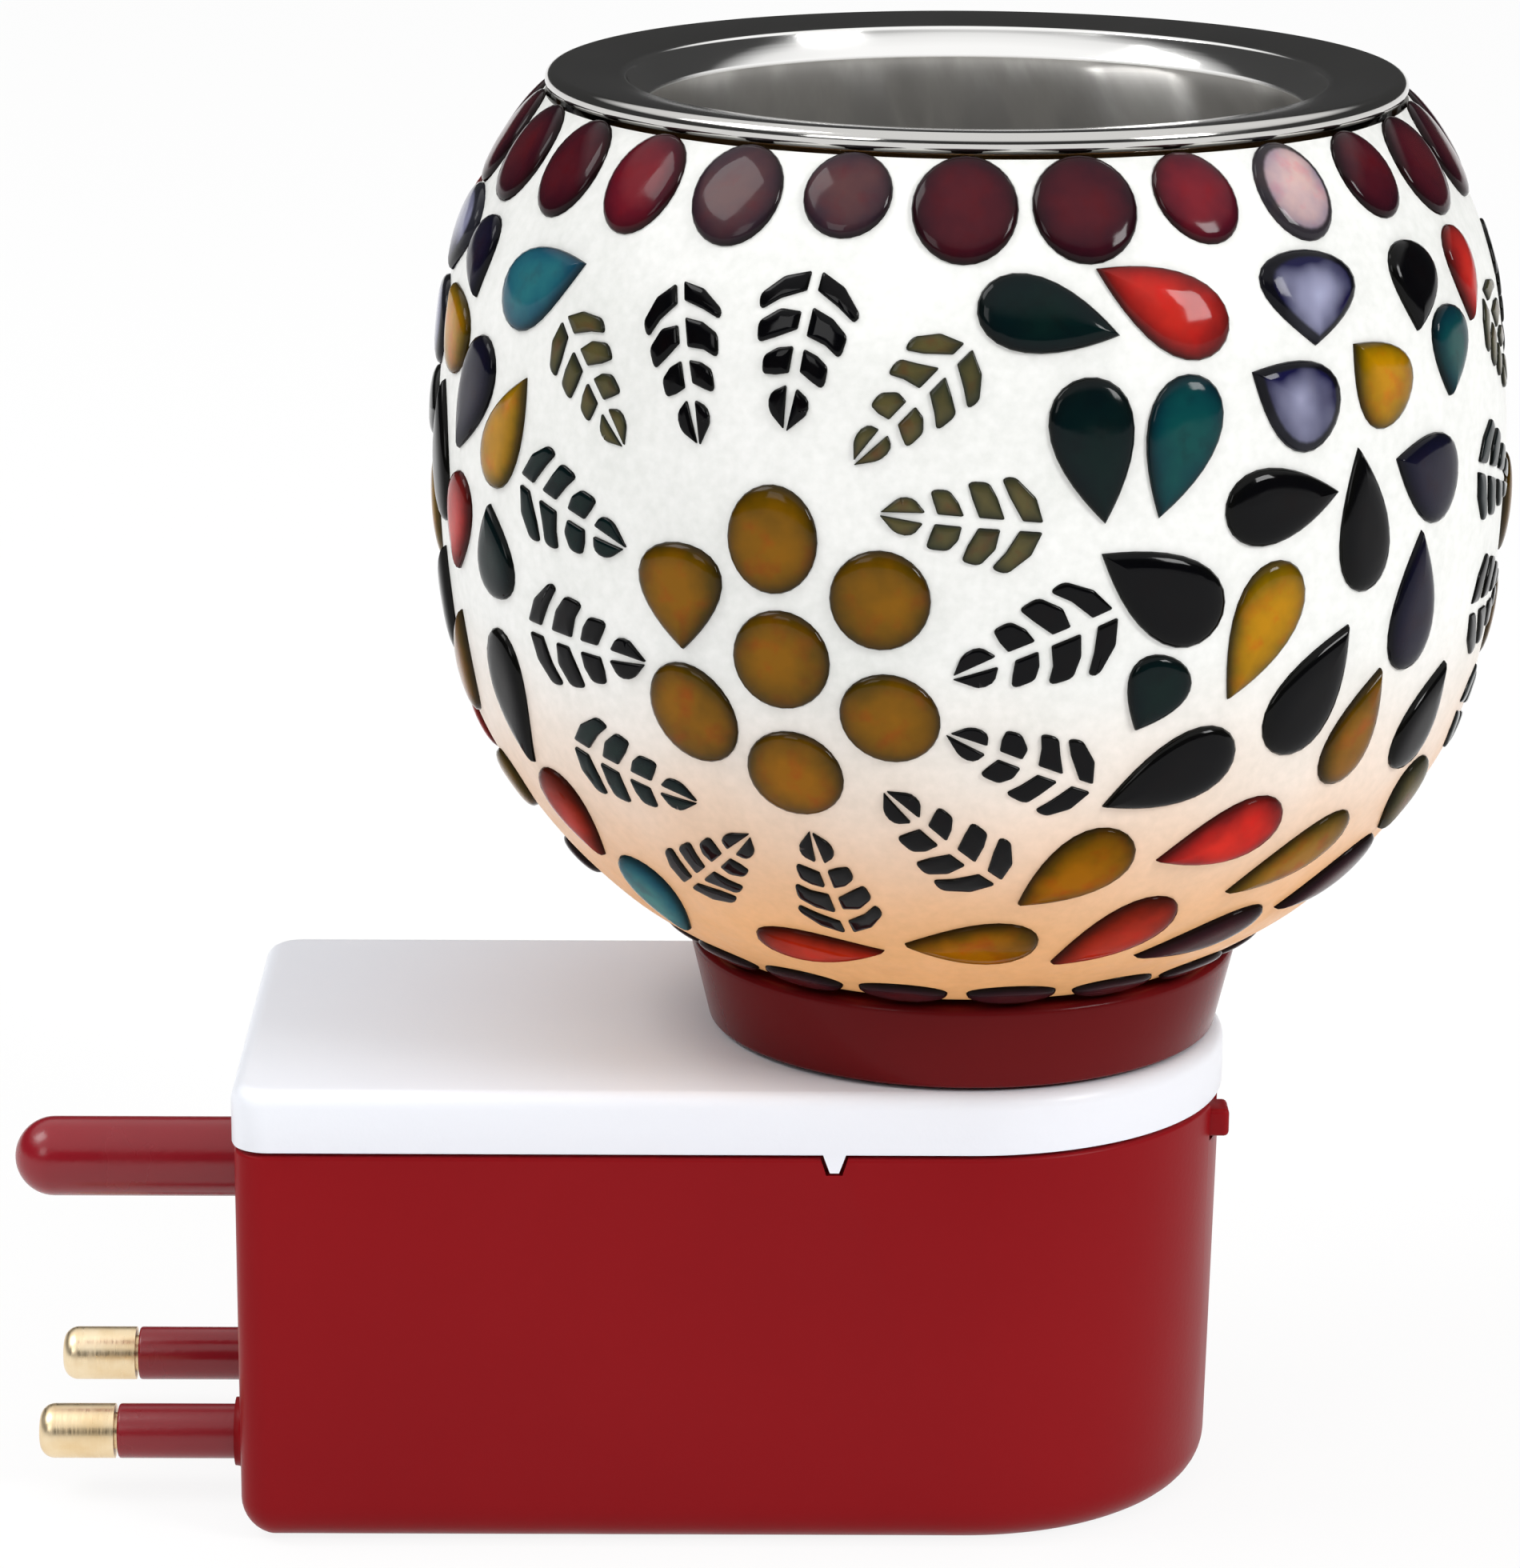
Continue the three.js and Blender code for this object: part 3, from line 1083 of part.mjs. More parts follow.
const plugBase = new THREE.Group().add(
  piece("lower_housing", lowerHousing(), RED_PLASTIC),
  piece("top_cover", topCover(), WHITE_PLASTIC),
  piece("plug_insert", plugInsert(), RED_PLASTIC),
  piece("line_pin", contactPin(-PIN_SPACING / 2), BRASS),
  piece("neutral_pin", contactPin(PIN_SPACING / 2), BRASS),
  ...SCREW_SPOTS.map((spot, i) => piece(`cover_screw_${i + 1}`, coverScrew(spot), STEEL)),
  piece("switch_body", switchBody(), DARK_PLASTIC),
  piece("switch_terminal_1", terminal(-1), BRASS),
  piece("switch_terminal_2", terminal(1), BRASS),
  piece("switch_thumb", switchThumb(), RED_PLASTIC),
  piece("line_lead", lineLead(), LINE_WIRE),
  piece("switch_lead", switchLead(), LINE_WIRE),
  piece("neutral_lead", neutralLead(), NEUTRAL_WIRE),
);

const lampSeat = new THREE.Group().add(
  piece("collar", collar(), RED_PLASTIC),
  piece("globe_gasket", globeGasket(), RUBBER),
  piece("lamp_holder", lampHolder(), DARK_PLASTIC),
  piece("lamp_screw_shell", lampScrewShell(), BRASS),
  piece("lamp_centre_contact", lampCentreContact(), BRASS),
  piece("holder_terminal_line", holderTerminal(0), BRASS),
  piece("holder_terminal_neutral", holderTerminal(-BLOCK_SPACING), BRASS),
  piece("holder_terminal_screw_1", holderTerminalScrew(0), STEEL),
  piece("holder_terminal_screw_2", holderTerminalScrew(-BLOCK_SPACING), STEEL),
  piece("shade_ring", shadeRing(), DARK_PLASTIC),
);

const lamp = new THREE.Group().add(
  piece("bulb_cap", bulbCap(), STEEL),
  piece("bulb_insulator", bulbInsulator(), DARK_PLASTIC),
  piece("bulb_tip", bulbTip(), STEEL),
  piece("bulb_envelope", bulbEnvelope(), CLEAR_GLASS),
  piece("bulb_stem", bulbStem(), CLEAR_GLASS),
  piece("bulb_filament", bulbFilament(), FILAMENT),
);

const globe = new THREE.Group().add(
  piece("glass_globe", glassGlobe(), CLEAR_GLASS),
  piece("mosaic_skin", mosaicSkin(), GROUT),
  piece("camphor_dish", camphorDish(), STEEL),
);

export default new THREE.Group().add(plugBase, lampSeat, lamp, globe);
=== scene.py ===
"""Looks of a plug-in electric camphor burner: a lamp under a mosaic glass globe that warms a steel dish.

Metres, +Z up, in the frame of the solids. The globe stands on the Z axis, the plug pins point along -X and
the front faces -Y. Smooth meshes stand for the faceted solids, and every surface has a procedural finish.
"""

import logging
import math
import random
from collections.abc import Callable, Iterable, Sequence
from dataclasses import dataclass
from enum import Enum

import bmesh
import bpy
from mathutils import Matrix, Vector


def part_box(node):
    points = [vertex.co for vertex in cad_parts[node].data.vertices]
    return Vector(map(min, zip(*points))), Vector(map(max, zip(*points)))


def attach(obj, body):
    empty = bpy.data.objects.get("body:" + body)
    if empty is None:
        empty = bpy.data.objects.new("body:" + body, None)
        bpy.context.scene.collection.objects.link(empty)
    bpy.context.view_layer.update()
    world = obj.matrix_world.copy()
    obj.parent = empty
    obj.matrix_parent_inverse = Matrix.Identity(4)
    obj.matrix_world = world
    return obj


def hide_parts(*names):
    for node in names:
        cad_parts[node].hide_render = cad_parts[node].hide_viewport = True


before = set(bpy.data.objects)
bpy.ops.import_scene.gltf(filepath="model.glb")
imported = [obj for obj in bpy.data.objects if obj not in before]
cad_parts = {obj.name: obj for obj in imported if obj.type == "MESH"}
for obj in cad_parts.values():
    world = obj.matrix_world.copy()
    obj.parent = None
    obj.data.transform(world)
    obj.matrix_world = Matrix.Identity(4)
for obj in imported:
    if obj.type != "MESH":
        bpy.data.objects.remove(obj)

LOG = logging.getLogger("camphor_burner")
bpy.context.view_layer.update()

MM = 0.001
QUARTER = math.pi / 2
FULL_TURN = 2 * math.pi
CLEARANCE = 0.3 * MM
SPARE = 1 * MM
HOLDER_HOLE = 12.7 * MM
ON_AXIS = 1e-7
SHARP_ANGLE = math.radians(32)
ROUND_BEVEL = 0.5
NO_LIGHT = (0, 0, 0)
WHITE = (1, 1, 1, 1)

Point2 = tuple[float, float]
Point3 = tuple[float, float, float]
Corner = tuple[float, float, float]
Colour = tuple[float, float, float]
RadialRule = Callable[[float, float, float], float]
Inputs = dict[str | int, object]
Socket = bpy.types.NodeSocket
Object = bpy.types.Object
Material = bpy.types.Material
Mesh = bpy.types.Mesh


class Body(Enum):
    """Bodies of the part that a piece can ride on."""

    BASE = "base"
    SWITCH = "switch"
    BULB = "bulb"
    GLOBE = "globe"
    DISH = "dish"


class Cut(Enum):
    """Ways to combine two solids."""

    AWAY = "DIFFERENCE"
    TOGETHER = "UNION"


class Sum(Enum):
    """Sums that a node can do."""

    ADD = "ADD"
    SUBTRACT = "SUBTRACT"
    MULTIPLY = "MULTIPLY"
    MULTIPLY_ADD = "MULTIPLY_ADD"
    POWER = "POWER"
    GREATEST = "MAXIMUM"
    LEAST = "MINIMUM"


class Mixing(Enum):
    """Ways to mix two colours."""

    OVER = "MIX"
    TIMES = "MULTIPLY"


class Tint(Enum):
    """Colours of the glass tiles, as linear red, green and blue."""

    MAROON = (0.062, 0.007, 0.015)
    CRIMSON = (0.150, 0.010, 0.022)
    # The pale pink below paints the reflection of a light on a mouth tile.
    ROSE = (0.560, 0.400, 0.430)
    SMOKE = (0.085, 0.038, 0.048)
    AMBER = (0.208, 0.094, 0.001)
    HONEY = (0.420, 0.210, 0.001)
    OLIVE = (0.190, 0.110, 0.012)
    RED = (0.430, 0.022, 0.018)
    RUST = (0.250, 0.016, 0.004)
    TEAL = (0.003, 0.060, 0.071)
    SEA = (0.020, 0.145, 0.205)
    PINE = (0.002, 0.011, 0.012)
    NAVY = (0.009, 0.008, 0.026)
    # The bluer navy below carries a painted pale reflection on its tiles.
    LILAC = (0.012, 0.011, 0.065)
    PLUM = (0.028, 0.008, 0.014)
    BLACK = (0.002, 0.002, 0.003)
    MOSS = (0.080, 0.074, 0.034)


def arc(centre: Point2, radius: float, start: float, end: float, steps: int) -> list[Point2]:
    """Points along an arc about a centre, from one angle to another, both ends included."""
    angles = [start + (end - start) * step / steps for step in range(steps + 1)]
    return [(centre[0] + radius * math.cos(angle), centre[1] + radius * math.sin(angle)) for angle in angles]


def cosine(degrees: float) -> float:
    """Cosine of an angle in degrees."""
    return math.cos(math.radians(degrees))


def sine(degrees: float) -> float:
    """Sine of an angle in degrees."""
    return math.sin(math.radians(degrees))


def rounded(corners: Sequence[Corner], steps: int = 5) -> list[Point2]:
    """Outline through a loop of corners, each with a rounding of its own.

    Args:
        corners: across, up and rounding radius of each corner.
        steps: how many steps each rounding takes.

    Returns:
        The points of the rounded outline.
    """
    points: list[Point2] = []
    for index, (across, up, radius) in enumerate(corners):
        corner = Vector((across, up))
        if radius == 0:
            points.append((across, up))
            continue
        before = (Vector(corners[index - 1][:2]) - corner).normalized()
        after = (Vector(corners[(index + 1) % len(corners)][:2]) - corner).normalized()
        half = before.angle(after) / 2
        centre = corner + (before + after).normalized() * (radius / math.sin(half))
        first = corner + before * (radius / math.tan(half)) - centre
        last = corner + after * (radius / math.tan(half)) - centre
        start = math.atan2(first.y, first.x)
        sweep = math.remainder(math.atan2(last.y, last.x) - start, FULL_TURN)
        points += arc(tuple(centre), radius, start, start + sweep, steps)
    return points


def smooth_line(points: Sequence[Point2], steps: int) -> list[Point2]:
    """Even points along a smooth curve through the given ones.

    Args:
        points: places that the curve passes through.
        steps: how many equal steps it is cut into.

    Returns:
        The points, both ends included.
    """
    fine: list[Vector] = []
    spans = len(points) - 1
    per_span = 40
    for span in range(spans):
        near = [Vector(points[min(max(span + shift, 0), spans)]) for shift in (-1, 0, 1, 2)]
        leave = (near[2] - near[0]) / 2
        arrive = (near[3] - near[1]) / 2
        for step in range(per_span):
            t = step / per_span
            cubic = (2 * near[1] - 2 * near[2] + leave + arrive) * t**3
            square = (3 * near[2] - 3 * near[1] - 2 * leave - arrive) * t**2
            fine.append(cubic + square + leave * t + near[1])
    fine.append(Vector(points[-1]))
    lengths = [0.0]
    for before, after in zip(fine, fine[1:]):
        lengths.append(lengths[-1] + (after - before).length)
    even: list[Point2] = []
    place = 0
    for step in range(steps + 1):
        wanted = lengths[-1] * step / steps
        while place < len(fine) - 2 and lengths[place + 1] < wanted:
            place += 1
        share = (wanted - lengths[place]) / (lengths[place + 1] - lengths[place])
        even.append(tuple(fine[place].lerp(fine[place + 1], share)))
    return even


def new_piece(name: str, mesh: Mesh) -> Object:
    """Puts a new object into the scene, at the origin.

    Args:
        name: its name.
        mesh: its mesh.

    Returns:
        The object.
    """
    piece = bpy.data.objects.new(name, mesh)
    bpy.context.scene.collection.objects.link(piece)
    return piece


def from_bmesh(name: str, bm: bmesh.types.BMesh) -> Object:
    """Closes a bmesh into a piece.

    Args:
        name: the piece's name.
        bm: its mesh, which is freed.

    Returns:
        The piece, its faces pointing out and its soft edges shaded smooth.
    """
    bmesh.ops.remove_doubles(bm, verts=bm.verts, dist=ON_AXIS)
    bmesh.ops.recalc_face_normals(bm, faces=bm.faces)
    mesh = bpy.data.meshes.new(name)
    bm.to_mesh(mesh)
    bm.free()
    shade(mesh)
    return new_piece(name, mesh)


def shade(mesh: Mesh, angle: float = SHARP_ANGLE) -> None:
    """Shades a mesh smooth, apart from its sharp edges."""
    mesh.shade_smooth()
    mesh.set_sharp_from_angle(angle=angle)


def revolve(name: str, profile: Sequence[Point2], sides: int = 96) -> Object:
    """Solid of revolution about Z.

    Args:
        name: the piece's name.
        profile: radius and height of each point, from axis to axis or in a loop that leaves the axis free.
        sides: how many steps make a full turn.

    Returns:
        The closed piece.
    """
    bm = bmesh.new()
    spokes = [(math.cos(FULL_TURN * i / sides), math.sin(FULL_TURN * i / sides)) for i in range(sides)]
    rings = []
    for radius, height in profile:
        around = spokes if radius > ON_AXIS else spokes[:1]
        rings.append([bm.verts.new((radius * x, radius * y, height)) for x, y in around])
    is_loop = profile[0][0] > ON_AXIS
    following = rings[1:] + rings[:1] if is_loop else rings[1:]
    for low, high in zip(rings, following):
        for i in range(sides):
            j = i + 1
            ring_corners = (low[i % len(low)], low[j % len(low)], high[j % len(high)], high[i % len(high)])
            corners = list(dict.fromkeys(ring_corners))
            if len(corners) > 2:
                bm.faces.new(corners)
    return from_bmesh(name, bm)


def loft(name: str, rings: Sequence[tuple[Sequence[Point2], float]]) -> Object:
    """Skin over a run of plan outlines, capped at both ends.

    Args:
        name: the piece's name.
        rings: each outline with its height.

    Returns:
        The closed piece.
    """
    bm = bmesh.new()
    rows = [[bm.verts.new((x, y, height)) for x, y in outline] for outline, height in rings]
    count = len(rows[0])
    for low, high in zip(rows, rows[1:]):
        for i in range(count):
            j = (i + 1) % count
            bm.faces.new((low[i], low[j], high[j], high[i]))
    bm.faces.new(rows[0])
    bm.faces.new(rows[-1])
    return from_bmesh(name, bm)


def plate(name: str, outline: Sequence[Point2], near: float, far: float) -> Object:
    """Slab with an outline in X and Z.

    Args:
        name: the piece's name.
        outline: its outline.
        near: where it starts along Y.
        far: where it ends.

    Returns:
        The closed piece.
    """
    piece = loft(name, [(outline, -near), (outline, -far)])
    piece.data.transform(Matrix.Rotation(QUARTER, 4, "X"))
    return piece


def soft_block(name: str, low: Vector, high: Vector, rounding: float, steps: int = 3) -> Object:
    """Box between two corners with rounded edges.

    Args:
        name: the piece's name.
        low: its lowest corner.
        high: its highest corner.
        rounding: radius of its edges.
        steps: how many steps round an edge.

    Returns:
        The closed piece.
    """
    bm = bmesh.new()
    bmesh.ops.create_cube(bm, size=1)
    place = Matrix.Translation((low + high) / 2)
    stretch = Matrix.Diagonal((*(high - low), 1))
    bmesh.ops.transform(bm, verts=bm.verts, matrix=place @ stretch)
    edges = bm.edges[:]
    bmesh.ops.bevel(bm, geom=edges, offset=rounding, segments=steps, profile=ROUND_BEVEL, affect="EDGES")
    return from_bmesh(name, bm)


def meshed(piece: Object) -> Mesh:
    """Takes the plain mesh of an object as it shows, with its modifiers or its bevel.

    Args:
        piece: the object.

    Returns:
        The mesh.
    """
    graph = bpy.context.evaluated_depsgraph_get()
    shown = piece.evaluated_get(graph)
    return bpy.data.meshes.new_from_object(shown, preserve_all_data_layers=True, depsgraph=graph)


def bake(piece: Object) -> None:
    """Turns a piece and its modifiers into one plain mesh.

    Args:
        piece: the piece that changes.
    """
    mesh = meshed(piece)
    old = piece.data
    piece.modifiers.clear()
    piece.data = mesh
    mesh.name = piece.name
    bpy.data.meshes.remove(old)


def combine(piece: Object, tools: Iterable[Object], how: Cut) -> None:
    """Cuts tools out of a piece, or joins them to it.

    Args:
        piece: the piece that changes.
        tools: solids that are used up.
        how: whether they are cut away or joined.
    """
    used = list(tools)
    for tool in used:
        modifier = piece.modifiers.new(tool.name, "BOOLEAN")
        modifier.solver = "EXACT"
        modifier.operation = how.value
        modifier.object = tool
    bake(piece)
    shade(piece.data)
    discard(used)


def discard(pieces: Iterable[Object]) -> None:
    """Removes helper objects and their meshes.

    Args:
        pieces: the helpers.
    """
    for piece in list(pieces):
        mesh = piece.data
        bpy.data.objects.remove(piece)
        bpy.data.meshes.remove(mesh)


def reshape(piece: Object, rule: RadialRule) -> None:
    """Moves every point of a piece straight towards the axis or away from it.

    Args:
        piece: the piece that changes.
        rule: gives a point's new radius from its radius, angle and height.
    """
    for vertex in piece.data.vertices:
        x, y, height = vertex.co
        radius = math.hypot(x, y)
        if radius > ON_AXIS:
            scale = rule(radius, math.atan2(y, x), height) / radius
            vertex.co = (x * scale, y * scale, height)
    piece.data.update()


def threaded(pitch: float, depth: float, low: float, high: float, least: float) -> RadialRule:
    """Rule that rolls a thread into a round wall.

    Args:
        pitch: rise of one turn.
        depth: how far the thread cuts in.
        low: height where it starts.
        high: height where it ends.
        least: radius inside which nothing moves.

    Returns:
        The rule, for use with reshape.
    """

    def rule(radius: float, angle: float, height: float) -> float:
        """Radius of a point, drawn in by the depth of the thread there.

        Args:
            radius: its radius in the plain wall.
            angle: its angle round the axis.
            height: its height.

        Returns:
            Its new radius.
        """
        if radius < least or not low <= height <= high:
            return radius
        run_out = min(1.0, (height - low) / pitch, (high - height) / pitch)
        phase = FULL_TURN * height / pitch - angle
        return radius - depth * run_out * (1 + math.cos(phase)) / 2

    return rule


class Canvas:
    """A node tree with short calls for adding and linking nodes."""

    def __init__(self, tree: bpy.types.NodeTree) -> None:
        """Wraps a node tree."""
        self.tree = tree

    def add(self, kind: str, inputs: Inputs | None = None, **settings: object) -> bpy.types.Node:
        """Adds a node.

        Args:
            kind: the node's type.
            inputs: values or sockets for its inputs, by name or place.
            **settings: its own options.

        Returns:
            The node.
        """
        node = self.tree.nodes.new(kind)
        for name, value in settings.items():
            setattr(node, name, value)
        for name, value in (inputs or {}).items():
            if isinstance(value, Socket):
                self.tree.links.new(value, node.inputs[name])
            else:
                node.inputs[name].default_value = value
        return node

    def out(
        self, kind: str, inputs: Inputs | None = None, output: str | int = 0, **settings: object
    ) -> Socket:
        """Adds a node as above and gives one of its outputs, by name or place."""
        return self.add(kind, inputs, **settings).outputs[output]

    def sums(self, how: Sum, *values: object) -> Socket:
        """Works out one number from others."""
        return self.out("ShaderNodeMath", dict(enumerate(values)), operation=how.value)

    def height(self, place: Socket) -> Socket:
        """Height of a place."""
        return self.out("ShaderNodeSeparateXYZ", {0: place}, "Z")


class Paint(Canvas):
    """A material under construction: its principled shader and the patterns that drive it."""

    NOISE_MIDDLE: Point2 = (0.3, 0.7)
    MIX_COLOURS: tuple[int, int] = (6, 7)
    MIXED_COLOUR: int = 2

    def __init__(self, name: str, **sockets: float) -> None:
        """Starts a material.

        Args:
            name: the material's name.
            **sockets: plain values for the shader, with _ for the spaces of their names.
        """
        self.material = bpy.data.materials.new(name)
        self.material.use_nodes = True
        super().__init__(self.material.node_tree)
        self.shader = self.tree.nodes["Principled BSDF"]
        for socket, value in sockets.items():
            self.shader.inputs[socket.replace("_", " ")].default_value = value
        self.place = self.out("ShaderNodeTexCoord", output="Object")

    def drive(self, socket: str, source: Socket) -> None:
        """Links a pattern to one of the shader's sockets."""
        self.tree.links.new(source, self.shader.inputs[socket])

    def noise(self, scale: float, detail: float = 2, stretch: Point3 = (1, 1, 1)) -> Socket:
        """Cloudy pattern from 0 to 1, so many clouds to the metre, stretched along each axis."""
        place = self.out("ShaderNodeMapping", {"Vector": self.place, "Scale": stretch})
        return self.out("ShaderNodeTexNoise", {"Vector": place, "Scale": scale, "Detail": detail})

    def ramp(
        self, value: Socket, start: float, end: float, low: float = 0, high: float = 1, eased: bool = False
    ) -> Socket:
        """Maps the range from start to end to that from low to high, level beyond its ends."""
        inputs = {"Value": value, "From Min": start, "From Max": end, "To Min": low, "To Max": high}
        return self.out("ShaderNodeMapRange", inputs, interpolation_type="SMOOTHSTEP" if eased else "LINEAR")

    def between(self, pattern: Socket, low: float, high: float) -> Socket:
        """Spreads the middle of a pattern over a range of values."""
        return self.ramp(pattern, *self.NOISE_MIDDLE, low, high)

    def blend(self, share: object, first: object, second: object, how: Mixing = Mixing.OVER) -> Socket:
        """Mixes two colours.

        Args:
            share: how much of the second colour there is.
            first: a colour or a socket.
            second: a colour or a socket.
            how: the way of mixing.

        Returns:
            The mixed colour.
        """
        inputs: Inputs = {0: share}
        for socket, colour in zip(self.MIX_COLOURS, (first, second)):
            inputs[socket] = (*colour, 1) if isinstance(colour, tuple) else colour
        return self.out("ShaderNodeMix", inputs, self.MIXED_COLOUR, data_type="RGBA", blend_type=how.value)

    def bump(self, pattern: Socket, height: float, strength: float = 1) -> None:
        """Gives the surface fine relief from a pattern, its height in metres."""
        inputs = {"Height": pattern, "Distance": height, "Strength": strength}
        self.drive("Normal", self.out("ShaderNodeBump", inputs))


@dataclass(frozen=True)
class Marks:
    """Cloudy marks: how many lie in a metre, how fine they break up and the values that they spread over."""

    count: float
    detail: float = 3
    low: float = 0
    high: float = 1
    stretch: Point3 = (1, 1, 1)

    def noise(self, paint: Paint) -> Socket:
        """The bare pattern, from 0 to 1."""
        return paint.noise(self.count, self.detail, self.stretch)

    def on(self, paint: Paint) -> Socket:
        """The marks, spread over their values."""
        return paint.between(self.noise(paint), self.low, self.high)


@dataclass(frozen=True)
class Relief:
    """Fine relief: how many bumps lie in a metre, how fine they break up, their depth and how much shows."""

    count: float
    detail: float
    depth: float
    share: float = 1

    def on(self, paint: Paint) -> None:
        """Gives a material its relief."""
        paint.bump(paint.noise(self.count, self.detail), self.depth, self.share)


@dataclass(frozen=True)
class MouldedPlastic:
    """Glossy or matt moulded plastic with flow clouds, flecks, smears and a fine mould grain."""

    name: str
    light: Colour
    dark: Colour
    roughness: float
    specular: float = 0.3
    smear: float = 0.06
    clouds: Marks = Marks(26)
    flecks: Marks = Marks(900, high=0.1)
    smears: Marks = Marks(140, 5, stretch=(1, 1, 0.35))
    grain: Relief = Relief(2200, 2, 0.012 * MM)

    def make(self) -> Material:
        """Builds the material.

        Returns:
            The material.
        """
        paint = Paint(self.name, Specular_IOR_Level=self.specular)
        toned = paint.blend(self.clouds.on(paint), self.dark, self.light)
        paint.drive("Base Color", paint.blend(self.flecks.on(paint), toned, self.dark))
        smooth, rough = self.roughness - self.smear, self.roughness + self.smear
        paint.drive("Roughness", paint.between(self.smears.noise(paint), smooth, rough))
        self.grain.on(paint)
        return paint.material


@dataclass(frozen=True)
class TurnedMetal:
    """Turned, plated or pressed metal with tool marks round an axis and a little tarnish."""

    name: str
    light: Colour
    dark: Colour
    roughness: float
    stretch: Point3 = (1, 1, 12)
    stains: Marks = Marks(320, 4)
    marks: float = 500
    mark_detail: float = 3
    mark_depth: float = 0.012 * MM
    mark_share: float = 0.6
    gloss: float = 0.08
    wear: float = 0.1

    def make(self) -> Material:
        """Builds the material.

        Returns:
            The material.
        """
        paint = Paint(self.name, Metallic=1)
        paint.drive("Base Color", paint.blend(self.stains.on(paint), self.light, self.dark))
        marks = paint.noise(self.marks, self.mark_detail, self.stretch)
        smooth, rough = self.roughness - self.gloss, self.roughness + self.wear
        paint.drive("Roughness", paint.between(marks, smooth, rough))
        paint.bump(marks, self.mark_depth, self.mark_share)
        return paint.material


@dataclass(frozen=True)
class DishSteel:
    """Spun stainless steel: a polished wall made pale as a painted bright reflection, a rim made darker as a
    painted dim reflection, and a brushed floor with smears that also paint a streaky reflection.
    """

    name: str
    wall: Colour
    rim: Colour
    floor_light: Colour
    floor_dark: Colour
    floor_radius: float
    wall_radius: float
    blur: float = 0.3 * MM
    rings: float = 2600
    ring_detail: float = 3
    ring_depth: float = 0.006 * MM
    ring_share: float = 0.5
    smears: Marks = Marks(210, 4, stretch=(1, 0.06, 1))
    polish: Marks = Marks(90, 4, 0.07, 0.13)
    brushing: Point2 = (0.34, 0.46)

    def make(self) -> Material:
        """Builds the material, its zones told apart by how far they lie from the axis.

        Returns:
            The material.
        """
        paint = Paint(self.name, Metallic=1)
        level = paint.out("ShaderNodeVectorMath", {0: paint.place, 1: (1, 1, 0)}, operation="MULTIPLY")
        radius = paint.out("ShaderNodeVectorMath", {0: level}, "Value", operation="LENGTH")
        floor = paint.ramp(radius, self.floor_radius - self.blur, self.floor_radius + self.blur, 1, 0)
        rim = paint.ramp(radius, self.wall_radius - self.blur, self.wall_radius + self.blur)
        outward = paint.sums(Sum.MULTIPLY, radius, self.rings)
        across = {"W": outward, "Scale": 1, "Detail": self.ring_detail}
        rings = paint.out("ShaderNodeTexNoise", across, noise_dimensions="1D")
        # The smears are marks on the floor and also paint its streaky reflection.
        smears = self.smears.on(paint)
        floor_smears_and_painted_streaks = paint.blend(smears, self.floor_light, self.floor_dark)
        # The wall's pale colour paints its bright reflection and the rim's darker colour paints a dim one.
        paint.drive("Base Color", paint.blend(floor, paint.blend(rim, self.wall, self.rim), floor_smears_and_painted_streaks))
        brushed = paint.between(smears, *self.brushing)
        finish = {0: floor, 2: self.polish.on(paint), 3: brushed}
        paint.drive("Roughness", paint.out("ShaderNodeMix", finish))
        paint.bump(rings, self.ring_depth, self.ring_share)
        return paint.material


@dataclass(frozen=True)
class ClearGlass:
    """Clear glass with faint waves and specks from blowing."""

    name: str
    colour: Colour = (1, 1, 1)
    roughness: float = 0.02
    haze: float = 0.04
    refraction: float = 1.46
    speck: Colour = (0.85, 0.86, 0.84)
    specks: Marks = Marks(700, high=0.08)
    hazes: Marks = Marks(220)
    waves: Relief = Relief(60, 2, 0.08 * MM, 0.4)

    def make(self) -> Material:
        """Builds the material.

        Returns:
            The material.
        """
        paint = Paint(self.name, Transmission_Weight=1, IOR=self.refraction)
        paint.drive("Base Color", paint.blend(self.specks.on(paint), self.colour, self.speck))
        hazes = self.hazes.noise(paint)
        paint.drive("Roughness", paint.between(hazes, self.roughness, self.roughness + self.haze))
        self.waves.on(paint)
        return paint.material


@dataclass(frozen=True)
class Glow:
    """Warm light of the lamp behind a wall, strongest low down."""

    colour: Colour = (0.84, 0.39, 0.11)
    low: float = 54 * MM
    high: float = 84 * MM
    stray: float = 10 * MM
    patches: Marks = Marks(45, 2)

    def share(self, paint: Paint) -> Socket:
        """Works out how much of the glow each point gets.

        Args:
            paint: the material under construction.

        Returns:
            The share, from 1 low on the globe to 0 at its middle.
        """
        height = paint.height(paint.place)
        patchy = paint.sums(Sum.MULTIPLY_ADD, self.patches.noise(paint), self.stray, height)
        mean = self.stray / 2
        return paint.ramp(patchy, self.low + mean, self.high + mean, 1, 0, eased=True)


